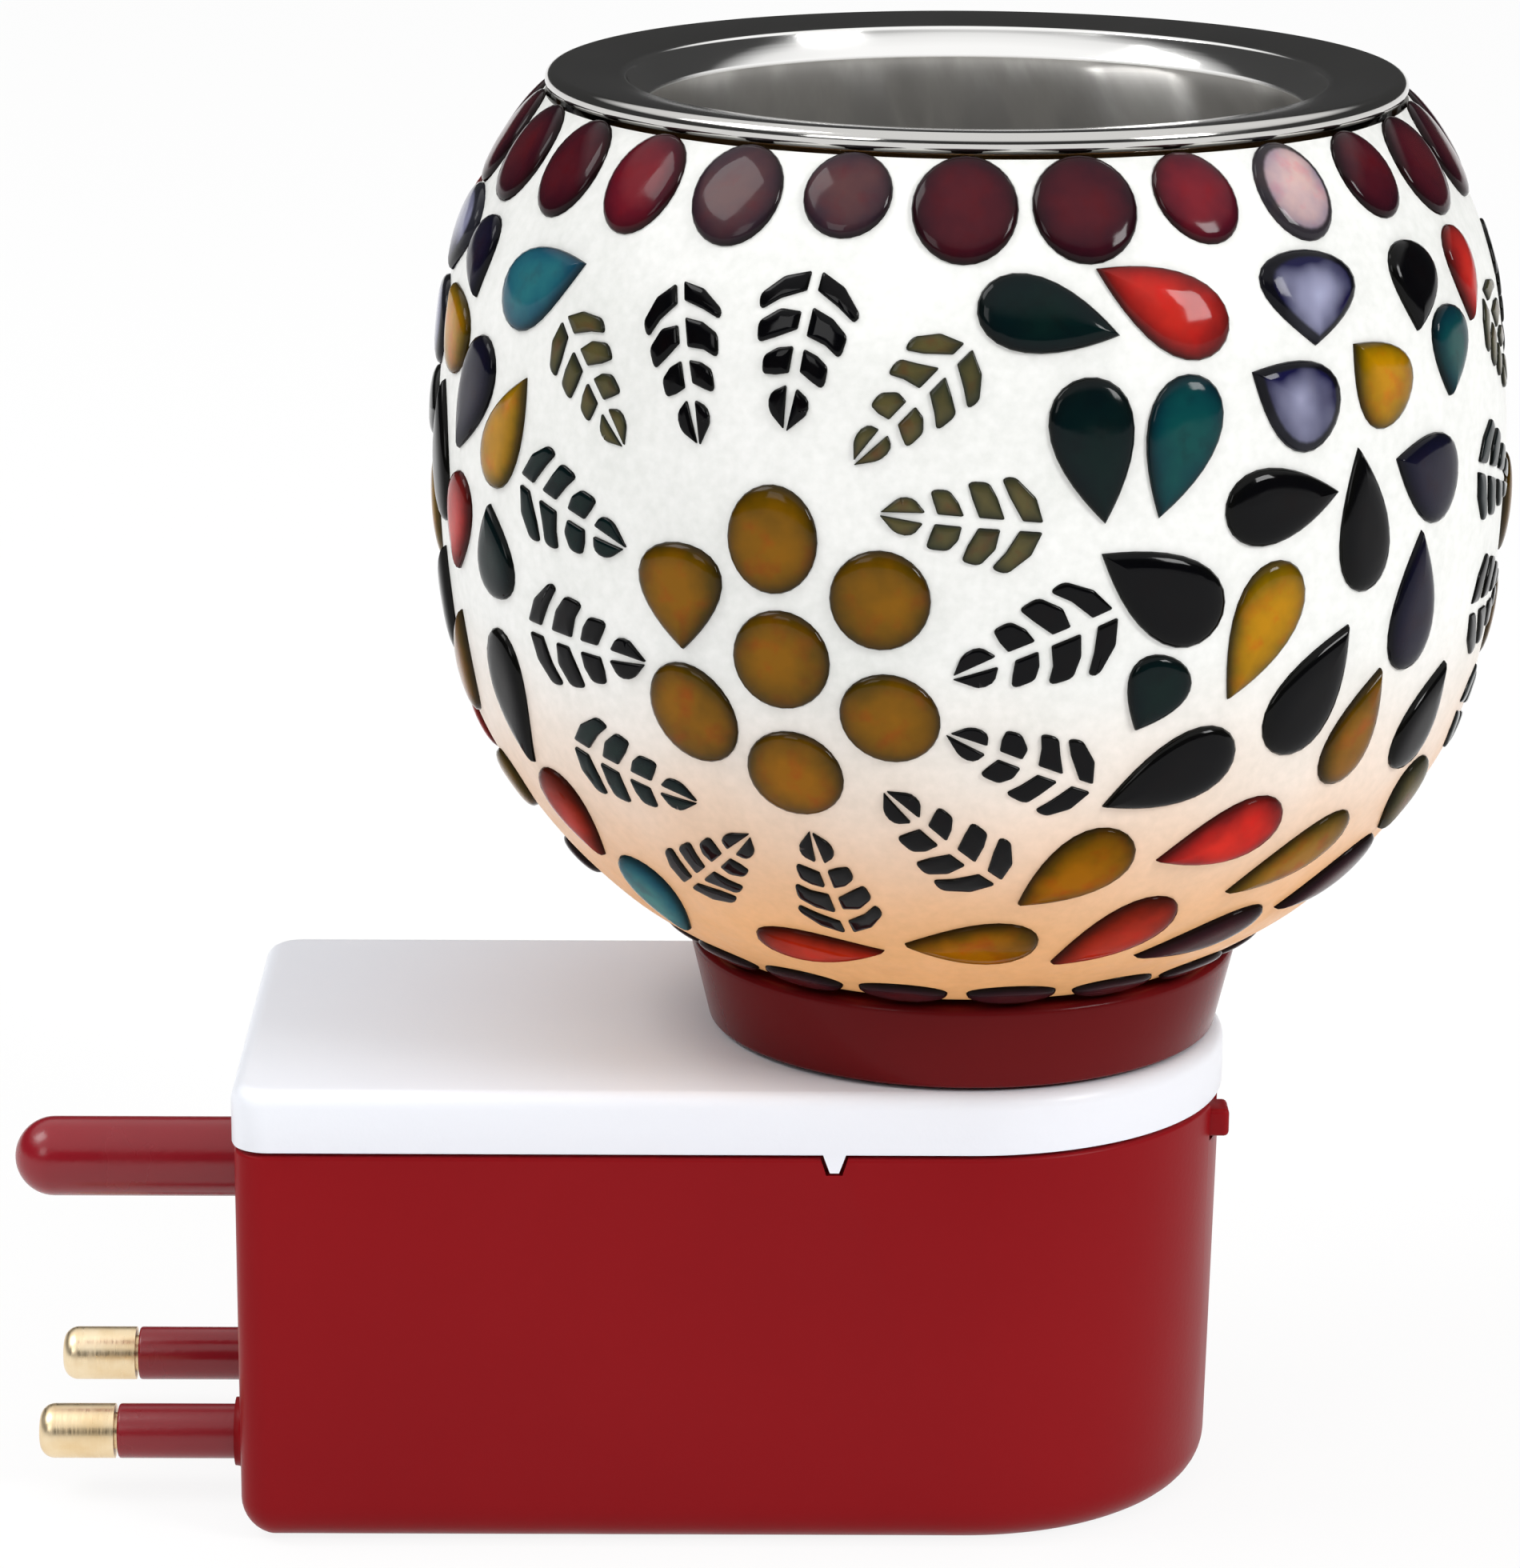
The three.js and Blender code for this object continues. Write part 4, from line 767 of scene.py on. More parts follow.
@dataclass(frozen=True)
class Grout:
    """White grout, hand smoothed, speckled, and warmed by the lamp where it lies close behind."""

    name: str
    light: Colour
    dark: Colour
    specular: float = 0.35
    glow: Glow = Glow()
    strength: float = 0.1
    warmth: float = 0.9
    specks: Marks = Marks(1100, high=0.5)
    patches: Marks = Marks(110, 4, high=0.5)
    roughness: Marks = Marks(300, 3, 0.32, 0.55)
    grain: Relief = Relief(650, 4, 0.05 * MM, 0.7)

    def make(self) -> Material:
        """Builds the material.

        Returns:
            The material.
        """
        paint = Paint(self.name, Specular_IOR_Level=self.specular, Emission_Strength=self.strength)
        stains = paint.sums(Sum.ADD, self.specks.on(paint), self.patches.on(paint))
        plain = paint.blend(stains, self.light, self.dark)
        share = self.glow.share(paint)
        warm = paint.blend(1.0, plain, self.glow.colour, Mixing.TIMES)
        paint.drive("Base Color", paint.blend(paint.sums(Sum.MULTIPLY, share, self.warmth), plain, warm))
        paint.drive("Emission Color", paint.blend(share, NO_LIGHT, self.glow.colour))
        paint.drive("Roughness", self.roughness.on(paint))
        self.grain.on(paint)
        return paint.material


@dataclass(frozen=True)
class TileGlass:
    """Cast coloured glass: its tint, a warm core with flecks, a darker rim, a painted reflection on some
    tints and the lamp behind.
    """

    name: str
    specular: float = 0.13
    refraction: float = 1.5
    core: Colour = (1.08, 0.98, 0.8)
    fleck: Colour = (1.25, 0.55, 0.5)
    shade: Colour = (0.4, 0.48, 0.6)
    ground: Colour = (0.004, 0.004, 0.003)
    # Colour of the painted reflection, pale patches in the middle of some tiles.
    painted_reflection_colour: Colour = (0.4, 0.41, 0.58)
    glow: Glow = Glow()
    strength: float = 0.6
    flecks: Marks = Marks(520, 3, -0.7, 0.75)
    clouds: Marks = Marks(300, 3, -0.3, 0.3)
    shade_power: float = 1.6
    # Patches of painted reflection, and how fast they fade towards the rim.
    painted_reflection_patches: Marks = Marks(170, 2, 0.5, 1.4)
    painted_reflection_fade: float = 1.2
    border: Point2 = (0.74, 0.85)
    border_share: float = 0.9
    border_gain: float = 4
    edge_power: float = 7
    edge_share: float = 0.85
    roughness: Marks = Marks(400, 3, 0.04, 0.14)
    dents: Relief = Relief(300, 2, 0.05 * MM, 0.5)

    def body(self, paint: Paint) -> Socket:
        """Colour of the glass with its dark edge, which is broad on tiles with a painted reflection.

        Args:
            paint: the material under construction.

        Returns:
            The colour.
        """
        tint = paint.add("ShaderNodeAttribute", attribute_name="tint").outputs
        rim = paint.out("ShaderNodeAttribute", output="Fac", attribute_name="rim")
        depth = paint.blend(self.flecks.on(paint), self.core, self.fleck)
        outward = paint.sums(Sum.ADD, paint.sums(Sum.POWER, rim, self.shade_power), self.clouds.on(paint))
        shaded = paint.blend(outward, depth, self.shade)
        clear = paint.blend(1.0, tint["Color"], shaded, Mixing.TIMES)
        # Painted reflection in the middle of the tiles whose tint alpha asks for it.
        inward = paint.sums(Sum.SUBTRACT, self.painted_reflection_patches.on(paint), paint.sums(Sum.POWER, rim, self.painted_reflection_fade))
        painted_reflection_share = paint.sums(Sum.MULTIPLY, paint.sums(Sum.GREATEST, inward, 0), tint["Alpha"])
        with_painted_reflection = paint.blend(painted_reflection_share, clear, self.painted_reflection_colour)
        border = paint.ramp(rim, *self.border, 0, self.border_share, eased=True)
        # Tiles with a painted reflection get a broad dark rim round it.
        painted_reflection_tile = paint.sums(Sum.LEAST, paint.sums(Sum.MULTIPLY, tint["Alpha"], self.border_gain), 1)
        broad = paint.sums(Sum.MULTIPLY, border, painted_reflection_tile)
        narrow = paint.sums(Sum.MULTIPLY, paint.sums(Sum.POWER, rim, self.edge_power), self.edge_share)
        return paint.blend(paint.sums(Sum.GREATEST, narrow, broad), with_painted_reflection, self.ground)

    def make(self) -> Material:
        """Builds the material.

        Returns:
            The material.
        """
        gloss = {"IOR": self.refraction, "Specular_IOR_Level": self.specular}
        paint = Paint(self.name, Emission_Strength=self.strength, **gloss)
        body = self.body(paint)
        paint.drive("Base Color", body)
        warmed = paint.blend(1.0, body, self.glow.colour, Mixing.TIMES)
        paint.drive("Emission Color", paint.blend(self.glow.share(paint), NO_LIGHT, warmed))
        paint.drive("Roughness", self.roughness.on(paint))
        self.dents.on(paint)
        return paint.material


@dataclass(frozen=True)
class GlowingWire:
    """Lamp wire on dull supports, whose coil glows above a given height."""

    name: str
    colour: Colour
    support: Colour
    low: float
    strength: float = 2
    roughness: float = 0.4
    ember: Colour = (0.9, 0.3, 0.08)
    embers: Marks = Marks(900, 2, high=0.4)
    blur: float = 1 * MM

    def make(self) -> Material:
        """Builds the material.

        Returns:
            The material.
        """
        paint = Paint(self.name, Metallic=1, Roughness=self.roughness, Emission_Strength=self.strength)
        glowing = paint.blend(self.embers.on(paint), self.colour, self.ember)
        hot = paint.ramp(paint.height(paint.place), self.low, self.low + self.blur)
        paint.drive("Base Color", paint.blend(hot, self.support, glowing))
        paint.drive("Emission Color", paint.blend(hot, NO_LIGHT, glowing))
        return paint.material


@dataclass
class Finishes:
    """Every finish of the burner, as materials."""

    red: Material
    pin_red: Material
    white: Material
    maroon: Material
    dark: Material
    rubber: Material
    brown_wire: Material
    blue_wire: Material
    brass: Material
    steel: Material
    cap: Material
    dish: Material
    lamp_glass: Material
    globe_glass: Material
    grout: Material
    tiles: Material
    low_tiles: Material
    filament: Material

    @classmethod
    def mix(cls) -> "Finishes":
        """Makes all materials.

        Returns:
            The finishes.
        """
        coil_reach = 3.2 * MM
        coil_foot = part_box("bulb_filament")[1].z - coil_reach
        finishes = {
            "red": MouldedPlastic(
                "red_plastic", (0.252, 0.005, 0.008), (0.232, 0.004, 0.007), 0.36, specular=0.09, smear=0.04
            ),
            "pin_red": MouldedPlastic(
                "red_pin_plastic", (0.265, 0.006, 0.014), (0.24, 0.005, 0.012), 0.26, specular=0.5
            ),
            "white": MouldedPlastic(
                "white_plastic", (0.85, 0.87, 0.92), (0.83, 0.85, 0.91), 0.34, smear=0.01
            ),
            "maroon": MouldedPlastic(
                "maroon_plastic", (0.135, 0.006, 0.007), (0.115, 0.005, 0.006), 0.2, specular=0.07
            ),
            "dark": MouldedPlastic("dark_plastic", (0.035, 0.032, 0.03), (0.02, 0.019, 0.018), 0.42),
            "rubber": MouldedPlastic(
                "gasket_rubber",
                (0.03, 0.03, 0.03),
                (0.018, 0.018, 0.018),
                0.7,
                specular=0.2,
                grain=Relief(2200, 2, 0.03 * MM),
            ),
            "brown_wire": MouldedPlastic("brown_wire", (0.16, 0.05, 0.02), (0.12, 0.036, 0.015), 0.45),
            "blue_wire": MouldedPlastic("blue_wire", (0.02, 0.05, 0.26), (0.015, 0.037, 0.19), 0.45),
            "brass": TurnedMetal("brass", (0.96, 0.80, 0.55), (0.84, 0.63, 0.36), 0.34, stretch=(12, 1, 1)),
            "steel": TurnedMetal("screw_steel", (0.62, 0.62, 0.61), (0.40, 0.40, 0.40), 0.3),
            "cap": TurnedMetal("cap_metal", (0.74, 0.73, 0.70), (0.52, 0.51, 0.48), 0.28),
            "dish": DishSteel(
                "dish_steel",
                # The pale wall and the darker rim are painted reflection: bright on the wall, dim on the rim.
                wall=(0.95, 0.945, 0.93),
                rim=(0.62, 0.61, 0.59),
                floor_light=(0.28, 0.265, 0.24),
                floor_dark=(0.145, 0.137, 0.123),
                floor_radius=28 * MM,
                wall_radius=29.8 * MM,
            ),
            "lamp_glass": ClearGlass("lamp_glass"),
            "globe_glass": ClearGlass("globe_glass", (0.96, 0.97, 0.95), 0.05),
            "grout": Grout("mosaic_grout", (0.90, 0.90, 0.88), (0.76, 0.77, 0.74)),
            "tiles": TileGlass("tile_glass"),
            "low_tiles": TileGlass("dull_tile_glass", specular=0.03),
            "filament": GlowingWire("lamp_wire", (1.0, 0.62, 0.25), (0.3, 0.29, 0.27), coil_foot),
        }
        return cls(**{name: finish.make() for name, finish in finishes.items()})


def settle(piece: Object, material: Material, body: Body, nodes: Sequence[str] = ()) -> None:
    """Ties a finished piece to the part.

    Args:
        piece: the piece, in place.
        material: its finish.
        body: the body that it moves with.
        nodes: the solids that it stands for.
    """
    piece.data.materials.clear()
    piece.data.materials.append(material)
    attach(piece, body.value)
    if nodes:
        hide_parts(*nodes)
    LOG.info("%s on %s: %d faces", piece.name, body.value, len(piece.data.polygons))


class NodeSetter(Canvas):
    """Node tree that sets copies of a blank on the points of a mesh.

    Points may carry a facing and a half size. With a form, the copies bend to the form's surface, each point
    of a copy standing off it by the blank's lift.
    """

    def __init__(self, name: str, bends: bool = False) -> None:
        """Builds the tree.

        Args:
            name: the tree's name.
            bends: whether the copies bend to a form.
        """
        super().__init__(bpy.data.node_groups.new(name, "GeometryNodeTree"))
        self.sockets: dict[str, str] = {}
        for way in ("INPUT", "OUTPUT"):
            self.tree.interface.new_socket("Geometry", in_out=way, socket_type="NodeSocketGeometry")
        kinds = {"Blank": "NodeSocketObject", "Material": "NodeSocketMaterial"}
        if bends:
            kinds["Form"] = "NodeSocketObject"
        for label, kind in kinds.items():
            socket = self.tree.interface.new_socket(label, in_out="INPUT", socket_type=kind)
            self.sockets[label] = socket.identifier
        self.given = self.add("NodeGroupInput").outputs
        shape = self.set_copies(bends)
        if bends:
            shape = self.bend(shape)
        dressed = self.out("GeometryNodeSetMaterial", {"Geometry": shape, "Material": self.given["Material"]})
        self.add("NodeGroupOutput", {0: dressed})

    def attribute(self, name: str, kind: str) -> Socket:
        """Socket of a named attribute."""
        return self.out("GeometryNodeInputNamedAttribute", {"Name": name}, data_type=kind)

    def shape_of(self, label: str) -> Socket:
        """Shape of the object that an input holds."""
        return self.out("GeometryNodeObjectInfo", {"Object": self.given[label]}, "Geometry")

    def set_copies(self, sized: bool) -> Socket:
        """Sets the blank on every point and makes the copies real.

        Args:
            sized: whether each point has a facing and a half size.

        Returns:
            The copies.
        """
        inputs: Inputs = {"Points": self.given[0], "Instance": self.shape_of("Blank")}
        if sized:
            facing = self.attribute("facing", "FLOAT_VECTOR")
            inputs["Rotation"] = self.out("FunctionNodeEulerToRotation", {0: facing})
            inputs["Scale"] = self.attribute("half_size", "FLOAT_VECTOR")
        copies = self.out("GeometryNodeInstanceOnPoints", inputs)
        return self.out("GeometryNodeRealizeInstances", {0: copies})

    def bend(self, shape: Socket) -> Socket:
        """Lays flat copies on the form and lifts their points off it.

        Args:
            shape: the flat copies.

        Returns:
            The bent copies.
        """
        form = self.shape_of("Form")
        nearest = self.out("GeometryNodeProximity", {0: form}, "Position", target_element="FACES")
        sample = {"Mesh": form, "Value": self.out("GeometryNodeInputNormal")}
        outward = self.out("GeometryNodeSampleNearestSurface", sample, data_type="FLOAT_VECTOR")
        lift = self.attribute("lift", "FLOAT")
        raised = self.out("ShaderNodeVectorMath", {0: outward, "Scale": lift}, operation="SCALE")
        place = self.out("ShaderNodeVectorMath", {0: nearest, 1: raised}, operation="ADD")
        moved = self.out("GeometryNodeSetPosition", {"Geometry": shape, "Position": place})
        return self.out("GeometryNodeSetShadeSmooth", {"Geometry": moved})

    def run(self, piece: Object, values: dict[str, object]) -> None:
        """Runs the tree on a piece and keeps the result as its plain mesh.

        Args:
            piece: the piece whose points are used.
            values: what goes into each input, by its label.
        """
        modifier = piece.modifiers.new(self.tree.name, "NODES")
        modifier.node_group = self.tree
        for label, value in values.items():
            modifier[self.sockets[label]] = value
        bake(piece)


@dataclass
class PlugBase:
    """Plug housing, its lid, the pins and the switch thumb."""

    finishes: Finishes
    wall: float = 2 * MM
    floor: float = 2.2 * MM
    draft: float = 0.7 * MM
    foot_radius: float = 3.6 * MM
    plug_corner: float = 3 * MM
    seam_round: float = 0.35 * MM
    cover_plate: float = 2 * MM
    cover_overhang: float = 0.2 * MM
    cover_edge: float = 1.4 * MM
    cover_foot_round: float = 0.3 * MM
    tab_x: float = -11.5 * MM
    tab_width: float = 2.3 * MM
    tab_drop: float = 1.2 * MM
    screw_count: int = 4
    screw_head_room: float = 2.7 * MM
    screw_head_depth: float = 2.1 * MM
    screw_shank_room: float = 1.7 * MM
    screw_shank: float = 1.4 * MM
    screw_head: float = 1.8 * MM
    screw_crown: float = 0.9 * MM
    slot_arm: float = 1.5 * MM
    slot_width: float = 0.4 * MM
    thread_pitch: float = 1.1 * MM
    thread_depth: float = 0.3 * MM
    thread_start: float = 0.5 * MM
    thread_core: float = 0.5 * MM
    boss_radius: float = 3.9 * MM
    boss_top: float = 14.1 * MM
    pin_radius: float = 2.4 * MM
    pin_shank: float = 1.6 * MM
    pin_nose: float = 0.55
    sleeve_length: float = 11.5 * MM
    sleeve_end: float = 0.25 * MM
    earth_radius: float = 3.525 * MM
    earth_rise: float = 22.23 * MM
    insert_round: float = 0.4 * MM
    pin_flare: float = 1.2 * MM
    thumb_travel: float = 4 * MM
    thumb_round: float = 0.45 * MM
    thumb_slot_round: float = 0.2 * MM
    grips: int = 2
    grip: float = 0.22 * MM
    groove_round: float = 0.1 * MM
    end_steps: int = 72
    corner_steps: int = 10
    fillet_steps: int = 10
    hole_sides: int = 48
    pin_sides: int = 64
    screw_sides: int = 40

    def __post_init__(self) -> None:
        """Takes the outer sizes from the solids."""
        housing_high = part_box("lower_housing")[1]
        self.half_width = housing_high.y
        self.seam = housing_high.z
        cover_low, cover_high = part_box("top_cover")
        self.plug_face = cover_low.x + self.cover_overhang
        self.cover_foot = self.seam + CLEARANCE
        self.cover_top = cover_high.z
        self.screw_nodes = [f"cover_screw_{index + 1}" for index in range(self.screw_count)]
        boxes = [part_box(node) for node in self.screw_nodes]
        self.screw_box = boxes[0]
        self.screw_places = [((low.x + high.x) / 2, (low.y + high.y) / 2, low.z) for low, high in boxes]
        self.line_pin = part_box("line_pin")
        self.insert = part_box("plug_insert")
        self.pin_height = (self.line_pin[0].z + self.line_pin[1].z) / 2
        self.pin_spread = abs(self.line_pin[0].y + self.line_pin[1].y) / 2
        self.pin_reach = self.plug_face - self.line_pin[0].x
        self.earth_reach = self.plug_face - self.insert[0].x
        self.earth_height = self.pin_height + self.earth_rise
        self.pins = (
            (0, self.earth_height, self.earth_radius),
            (-self.pin_spread, self.pin_height, self.pin_radius),
            (self.pin_spread, self.pin_height, self.pin_radius),
        )

    def plan(self, side_inset: float, face_inset: float) -> list[Point2]:
        """Plan of the base: a flat plug end with small corners, straight sides and a half-round end.

        Args:
            side_inset: how far the sides and the round end are drawn in.
            face_inset: how far the plug end is drawn in.

        Returns:
            The outline, anticlockwise.
        """
        half = self.half_width - side_inset
        face = self.plug_face + face_inset
        corner = max(self.plug_corner - face_inset, CLEARANCE)
        end = arc((0, 0), half, -QUARTER, QUARTER, self.end_steps)
        left = arc((face + corner, half - corner), corner, QUARTER, 2 * QUARTER, self.corner_steps)
        right = arc((face + corner, corner - half), corner, 2 * QUARTER, 3 * QUARTER, self.corner_steps)
        return end + left + right

    def tab_outline(self, margin: float) -> list[Point2]:
        """Outline of the small V on the lid's front edge.

        Args:
            margin: how much wider it is, for the notch that the V drops into.

        Returns:
            The outline in X and Z.
        """
        top = self.cover_foot + self.tab_drop / 2
        half = self.tab_width / 2 + margin
        tip = self.tab_width / 6 + margin
        foot = self.seam - self.tab_drop - margin
        corners = ((-tip, foot), (tip, foot), (half, top), (-half, top))
        return [(self.tab_x + across, height) for across, height in corners]

    def out_of_plug(self, piece: Object, across: float, height: float) -> Object:
        """Turns a piece made along +Z to point out of the plug face.

        Args:
            piece: the piece to turn.
            across: its place along Y.
            height: its place along Z.

        Returns:
            The piece.
        """
        move = Matrix.Translation((self.plug_face, across, height))
        piece.data.transform(move @ Matrix.Rotation(-QUARTER, 4, "Y"))
        return piece

    def rod(self, radius: float, low: float, high: float) -> Object:
        """Plain round tool for holes and bosses."""
        return revolve("rod", [(0, low), (radius, low), (radius, high), (0, high)], self.hole_sides)

    def at_screws(self, radius: float, low: float, high: float) -> list[Object]:
        """Round tools at the screws.

        Args:
            radius: their radius.
            low: height of their foot.
            high: height of their top.

        Returns:
            One tool for each screw.
        """
        tools = []
        for x, y, _ in self.screw_places:
            tool = self.rod(radius, low, high)
            tool.data.transform(Matrix.Translation((x, y, 0)))
            tools.append(tool)
        return tools

    def pin_rims(self) -> list[Object]:
        """Rounded rims that rise from the plug face round the pin holes.

        Returns:
            The rims, still without holes.
        """
        rims = []
        flare = self.pin_flare
        for across, height, radius in self.pins:
            outer = radius + 2 * CLEARANCE + flare
            cove = arc((outer, flare), flare, 3 * QUARTER, 2 * QUARTER, self.fillet_steps)
            foot = -self.wall / 2
            rim = revolve("rim", [(0, foot), (outer, foot), *cove, (0, flare)], self.hole_sides)
            rims.append(self.out_of_plug(rim, across, height))
        return rims

    def lower_housing(self) -> None:
        """Red tub with a rounded foot, pin holes, screw recesses, a slot for the thumb and a tab notch."""
        rings = []
        for step in range(self.fillet_steps + 1):
            angle = QUARTER * step / self.fillet_steps
            height = self.foot_radius * (1 - math.cos(angle))
            draw = self.foot_radius * (1 - math.sin(angle))
            lean = self.draft * (1 - height / self.seam)
            rings.append((self.plan(lean + draw, draw), height))
        for angle in (0, QUARTER / 3, 2 * QUARTER / 3, QUARTER):
            inset = self.seam_round * (1 - math.cos(angle))
            rings.append((self.plan(inset, inset), self.seam - self.seam_round * (1 - math.sin(angle))))
        rings.append((self.plan(self.wall, self.wall), self.seam))
        rings.append((self.plan(self.wall + self.draft, self.wall), self.floor))
        tub = loft("housing_shell", rings)
        bosses = self.at_screws(self.boss_radius, self.floor - CLEARANCE, self.boss_top)
        combine(tub, bosses + self.pin_rims(), Cut.TOGETHER)
        head_low = self.screw_box[0].z
        holes = self.at_screws(self.screw_head_room, -SPARE, head_low + self.screw_head_depth)
        holes += self.at_screws(self.screw_shank_room, head_low, self.boss_top + SPARE)
        for across, height, radius in self.pins:
            hole = self.rod(radius + CLEARANCE, -self.wall - SPARE, self.pin_flare + SPARE)
            holes.append(self.out_of_plug(hole, across, height))
        thumb_low, thumb_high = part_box("switch_thumb")
        margin = Vector((SPARE, CLEARANCE, CLEARANCE))
        slot_end = thumb_high + margin + Vector((0, self.thumb_travel, SPARE))
        holes.append(soft_block("slot", thumb_low - margin, slot_end, self.thumb_slot_round))
        notch_back = -self.half_width + self.wall / 2 + CLEARANCE
        holes.append(plate("notch", self.tab_outline(CLEARANCE), -self.half_width - SPARE, notch_back))
        combine(tub, holes, Cut.AWAY)
        settle(tub, self.finishes.red, Body.BASE, ["lower_housing"])

    def top_cover(self) -> None:
        """White lid with a softened rim, a shallow skirt and the small tab on its front edge."""
        out = -self.cover_overhang
        under = self.cover_top - self.cover_plate
        foot_round = self.cover_foot_round
        rings = [
            (self.plan(self.wall, self.wall), under),
            (self.plan(self.wall, self.wall), self.cover_foot),
            (self.plan(out + foot_round, out + foot_round), self.cover_foot),
        ]
        for angle in (QUARTER / 2, QUARTER):
            inset = out + foot_round * (1 - math.sin(angle))
            rings.append((self.plan(inset, inset), self.cover_foot + foot_round * (1 - math.cos(angle))))
        for step in range(self.fillet_steps + 1):
            angle = QUARTER * step / self.fillet_steps
            inset = out + self.cover_edge * (1 - math.cos(angle))
            rings.append((self.plan(inset, inset), self.cover_top - self.cover_edge * (1 - math.sin(angle))))
        lid = loft("cover_shell", rings)
        front = -self.half_width - self.cover_overhang
        tab = plate("tab", self.tab_outline(0), front, -self.half_width + self.wall / 2)
        combine(lid, [tab], Cut.TOGETHER)
        bore = [(0, under - SPARE), (HOLDER_HOLE, under - SPARE)]
        bore += [(HOLDER_HOLE, self.cover_top + SPARE), (0, self.cover_top + SPARE)]
        combine(lid, [revolve("bore", bore)], Cut.AWAY)
        settle(lid, self.finishes.white, Body.BASE, ["top_cover"])

    def plug_insert(self) -> None:
        """Red moulding with the dummy earth pin and the two sleeves, its plate behind the plug face."""
        low, high = self.insert
        plate_low = Vector((self.plug_face + self.wall + CLEARANCE, low.y, low.z))
        moulding = soft_block("plug_pins", plate_low, high, self.insert_round)
        back = -self.wall - 2 * CLEARANCE - SPARE
        tip = arc((0, self.earth_reach - self.earth_radius), self.earth_radius, 0, QUARTER, steps=14)[:-1]
        profile = [(0, back), (self.earth_radius, back), *tip, (0, self.earth_reach)]
        earth = revolve("earth", profile, self.pin_sides)
        parts = [self.out_of_plug(earth, 0, self.earth_height)]
        bores = []
        end = self.sleeve_end
        for side in (-1, 1):
            profile = [(0, back), (self.pin_radius, back)]
            profile += arc((self.pin_radius - end, self.sleeve_length - end), end, 0, QUARTER, steps=3)
            sleeve = revolve("sleeve", profile + [(0, self.sleeve_length)], self.hole_sides)
            parts.append(self.out_of_plug(sleeve, side * self.pin_spread, self.pin_height))
            bore = self.rod(self.pin_shank + CLEARANCE / 2, back - 5 * SPARE, self.sleeve_length + SPARE)
            bores.append(self.out_of_plug(bore, side * self.pin_spread, self.pin_height))
        combine(moulding, parts, Cut.TOGETHER)
        combine(moulding, bores, Cut.AWAY)
        settle(moulding, self.finishes.pin_red, Body.BASE, ["plug_insert"])

    def contact_pins(self) -> None:
        """Brass pins: a thin shank in the sleeve and a full tip with a rounded nose."""
        tail = self.plug_face - self.line_pin[1].x
        nose = self.pin_radius * self.pin_nose
        shoulder = self.sleeve_length + CLEARANCE
        for node, side in (("line_pin", -1), ("neutral_pin", 1)):
            profile = [(0, tail), (self.pin_shank, tail)]
            profile += [(self.pin_shank, shoulder), (self.pin_radius, shoulder)]
            profile += arc((self.pin_radius - nose, self.pin_reach - nose), nose, 0, QUARTER, steps=9)
            pin = revolve(f"brass_{node}", profile + [(0, self.pin_reach)], self.pin_sides)
            self.out_of_plug(pin, side * self.pin_spread, self.pin_height)
            settle(pin, self.finishes.brass, Body.BASE, [node])

    def switch_thumb(self) -> None:
        """Rounded thumb of the slide switch with grip grooves in its face."""
        low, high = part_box("switch_thumb")
        thumb = soft_block("switch_slider", low, high, self.thumb_round, steps=4)
        grooves = []
        for index in range(self.grips):
            across = low.y + (high.y - low.y) * (index + 1) / (self.grips + 1)
            corner = Vector((high.x - self.grip, across - self.grip, low.z - SPARE))
            opposite = Vector((high.x + SPARE, across + self.grip, high.z + SPARE))
            grooves.append(soft_block("groove", corner, opposite, self.groove_round, steps=2))
        combine(thumb, grooves, Cut.AWAY)
        settle(thumb, self.finishes.red, Body.SWITCH, ["switch_thumb"])

    def screw_blank(self) -> Object:
        """One cover screw, head down, with a cross slot and a thread.

        Returns:
            The screw, its head's face at height 0.
        """
        low, high = self.screw_box
        head = (high.y - low.y) / 2
        length = high.z - low.z
        shank, crown = self.screw_shank, self.screw_crown
        profile = [(0, 0), *arc((head - crown, crown), crown, -QUARTER, 0, steps=4)]
        profile += [(head, self.screw_head), (shank, self.screw_head), (shank, length - shank), (0, length)]
        screw = revolve("screw_blank", profile, self.screw_sides)
        arms = []
        for reach, width in ((self.slot_arm, self.slot_width), (self.slot_width, self.slot_arm)):
            corner = Vector((reach, width, SPARE))
            arms.append(soft_block("arm", -corner, corner, self.groove_round, steps=1))
        combine(screw, arms, Cut.AWAY)
        start, end = self.screw_head + self.thread_start, length - shank
        reshape(screw, threaded(self.thread_pitch, self.thread_depth, start, end, self.thread_core))
        return screw

    def cover_screws(self) -> None:
        """Screws set on their places by a node tree."""
        mesh = bpy.data.meshes.new("cover_screws")
        mesh.from_pydata(self.screw_places, [], [])
        screws = new_piece("cover_screws", mesh)
        blank = self.screw_blank()
        NodeSetter("set_screws").run(screws, {"Blank": blank, "Material": self.finishes.steel})
        shade(screws.data)
        discard([blank])
        settle(screws, self.finishes.steel, Body.BASE, self.screw_nodes)

    def build(self) -> None:
        """Builds every piece of the plug base."""
        self.lower_housing()
        self.top_cover()
        self.plug_insert()
        self.contact_pins()
        self.switch_thumb()
        self.cover_screws()


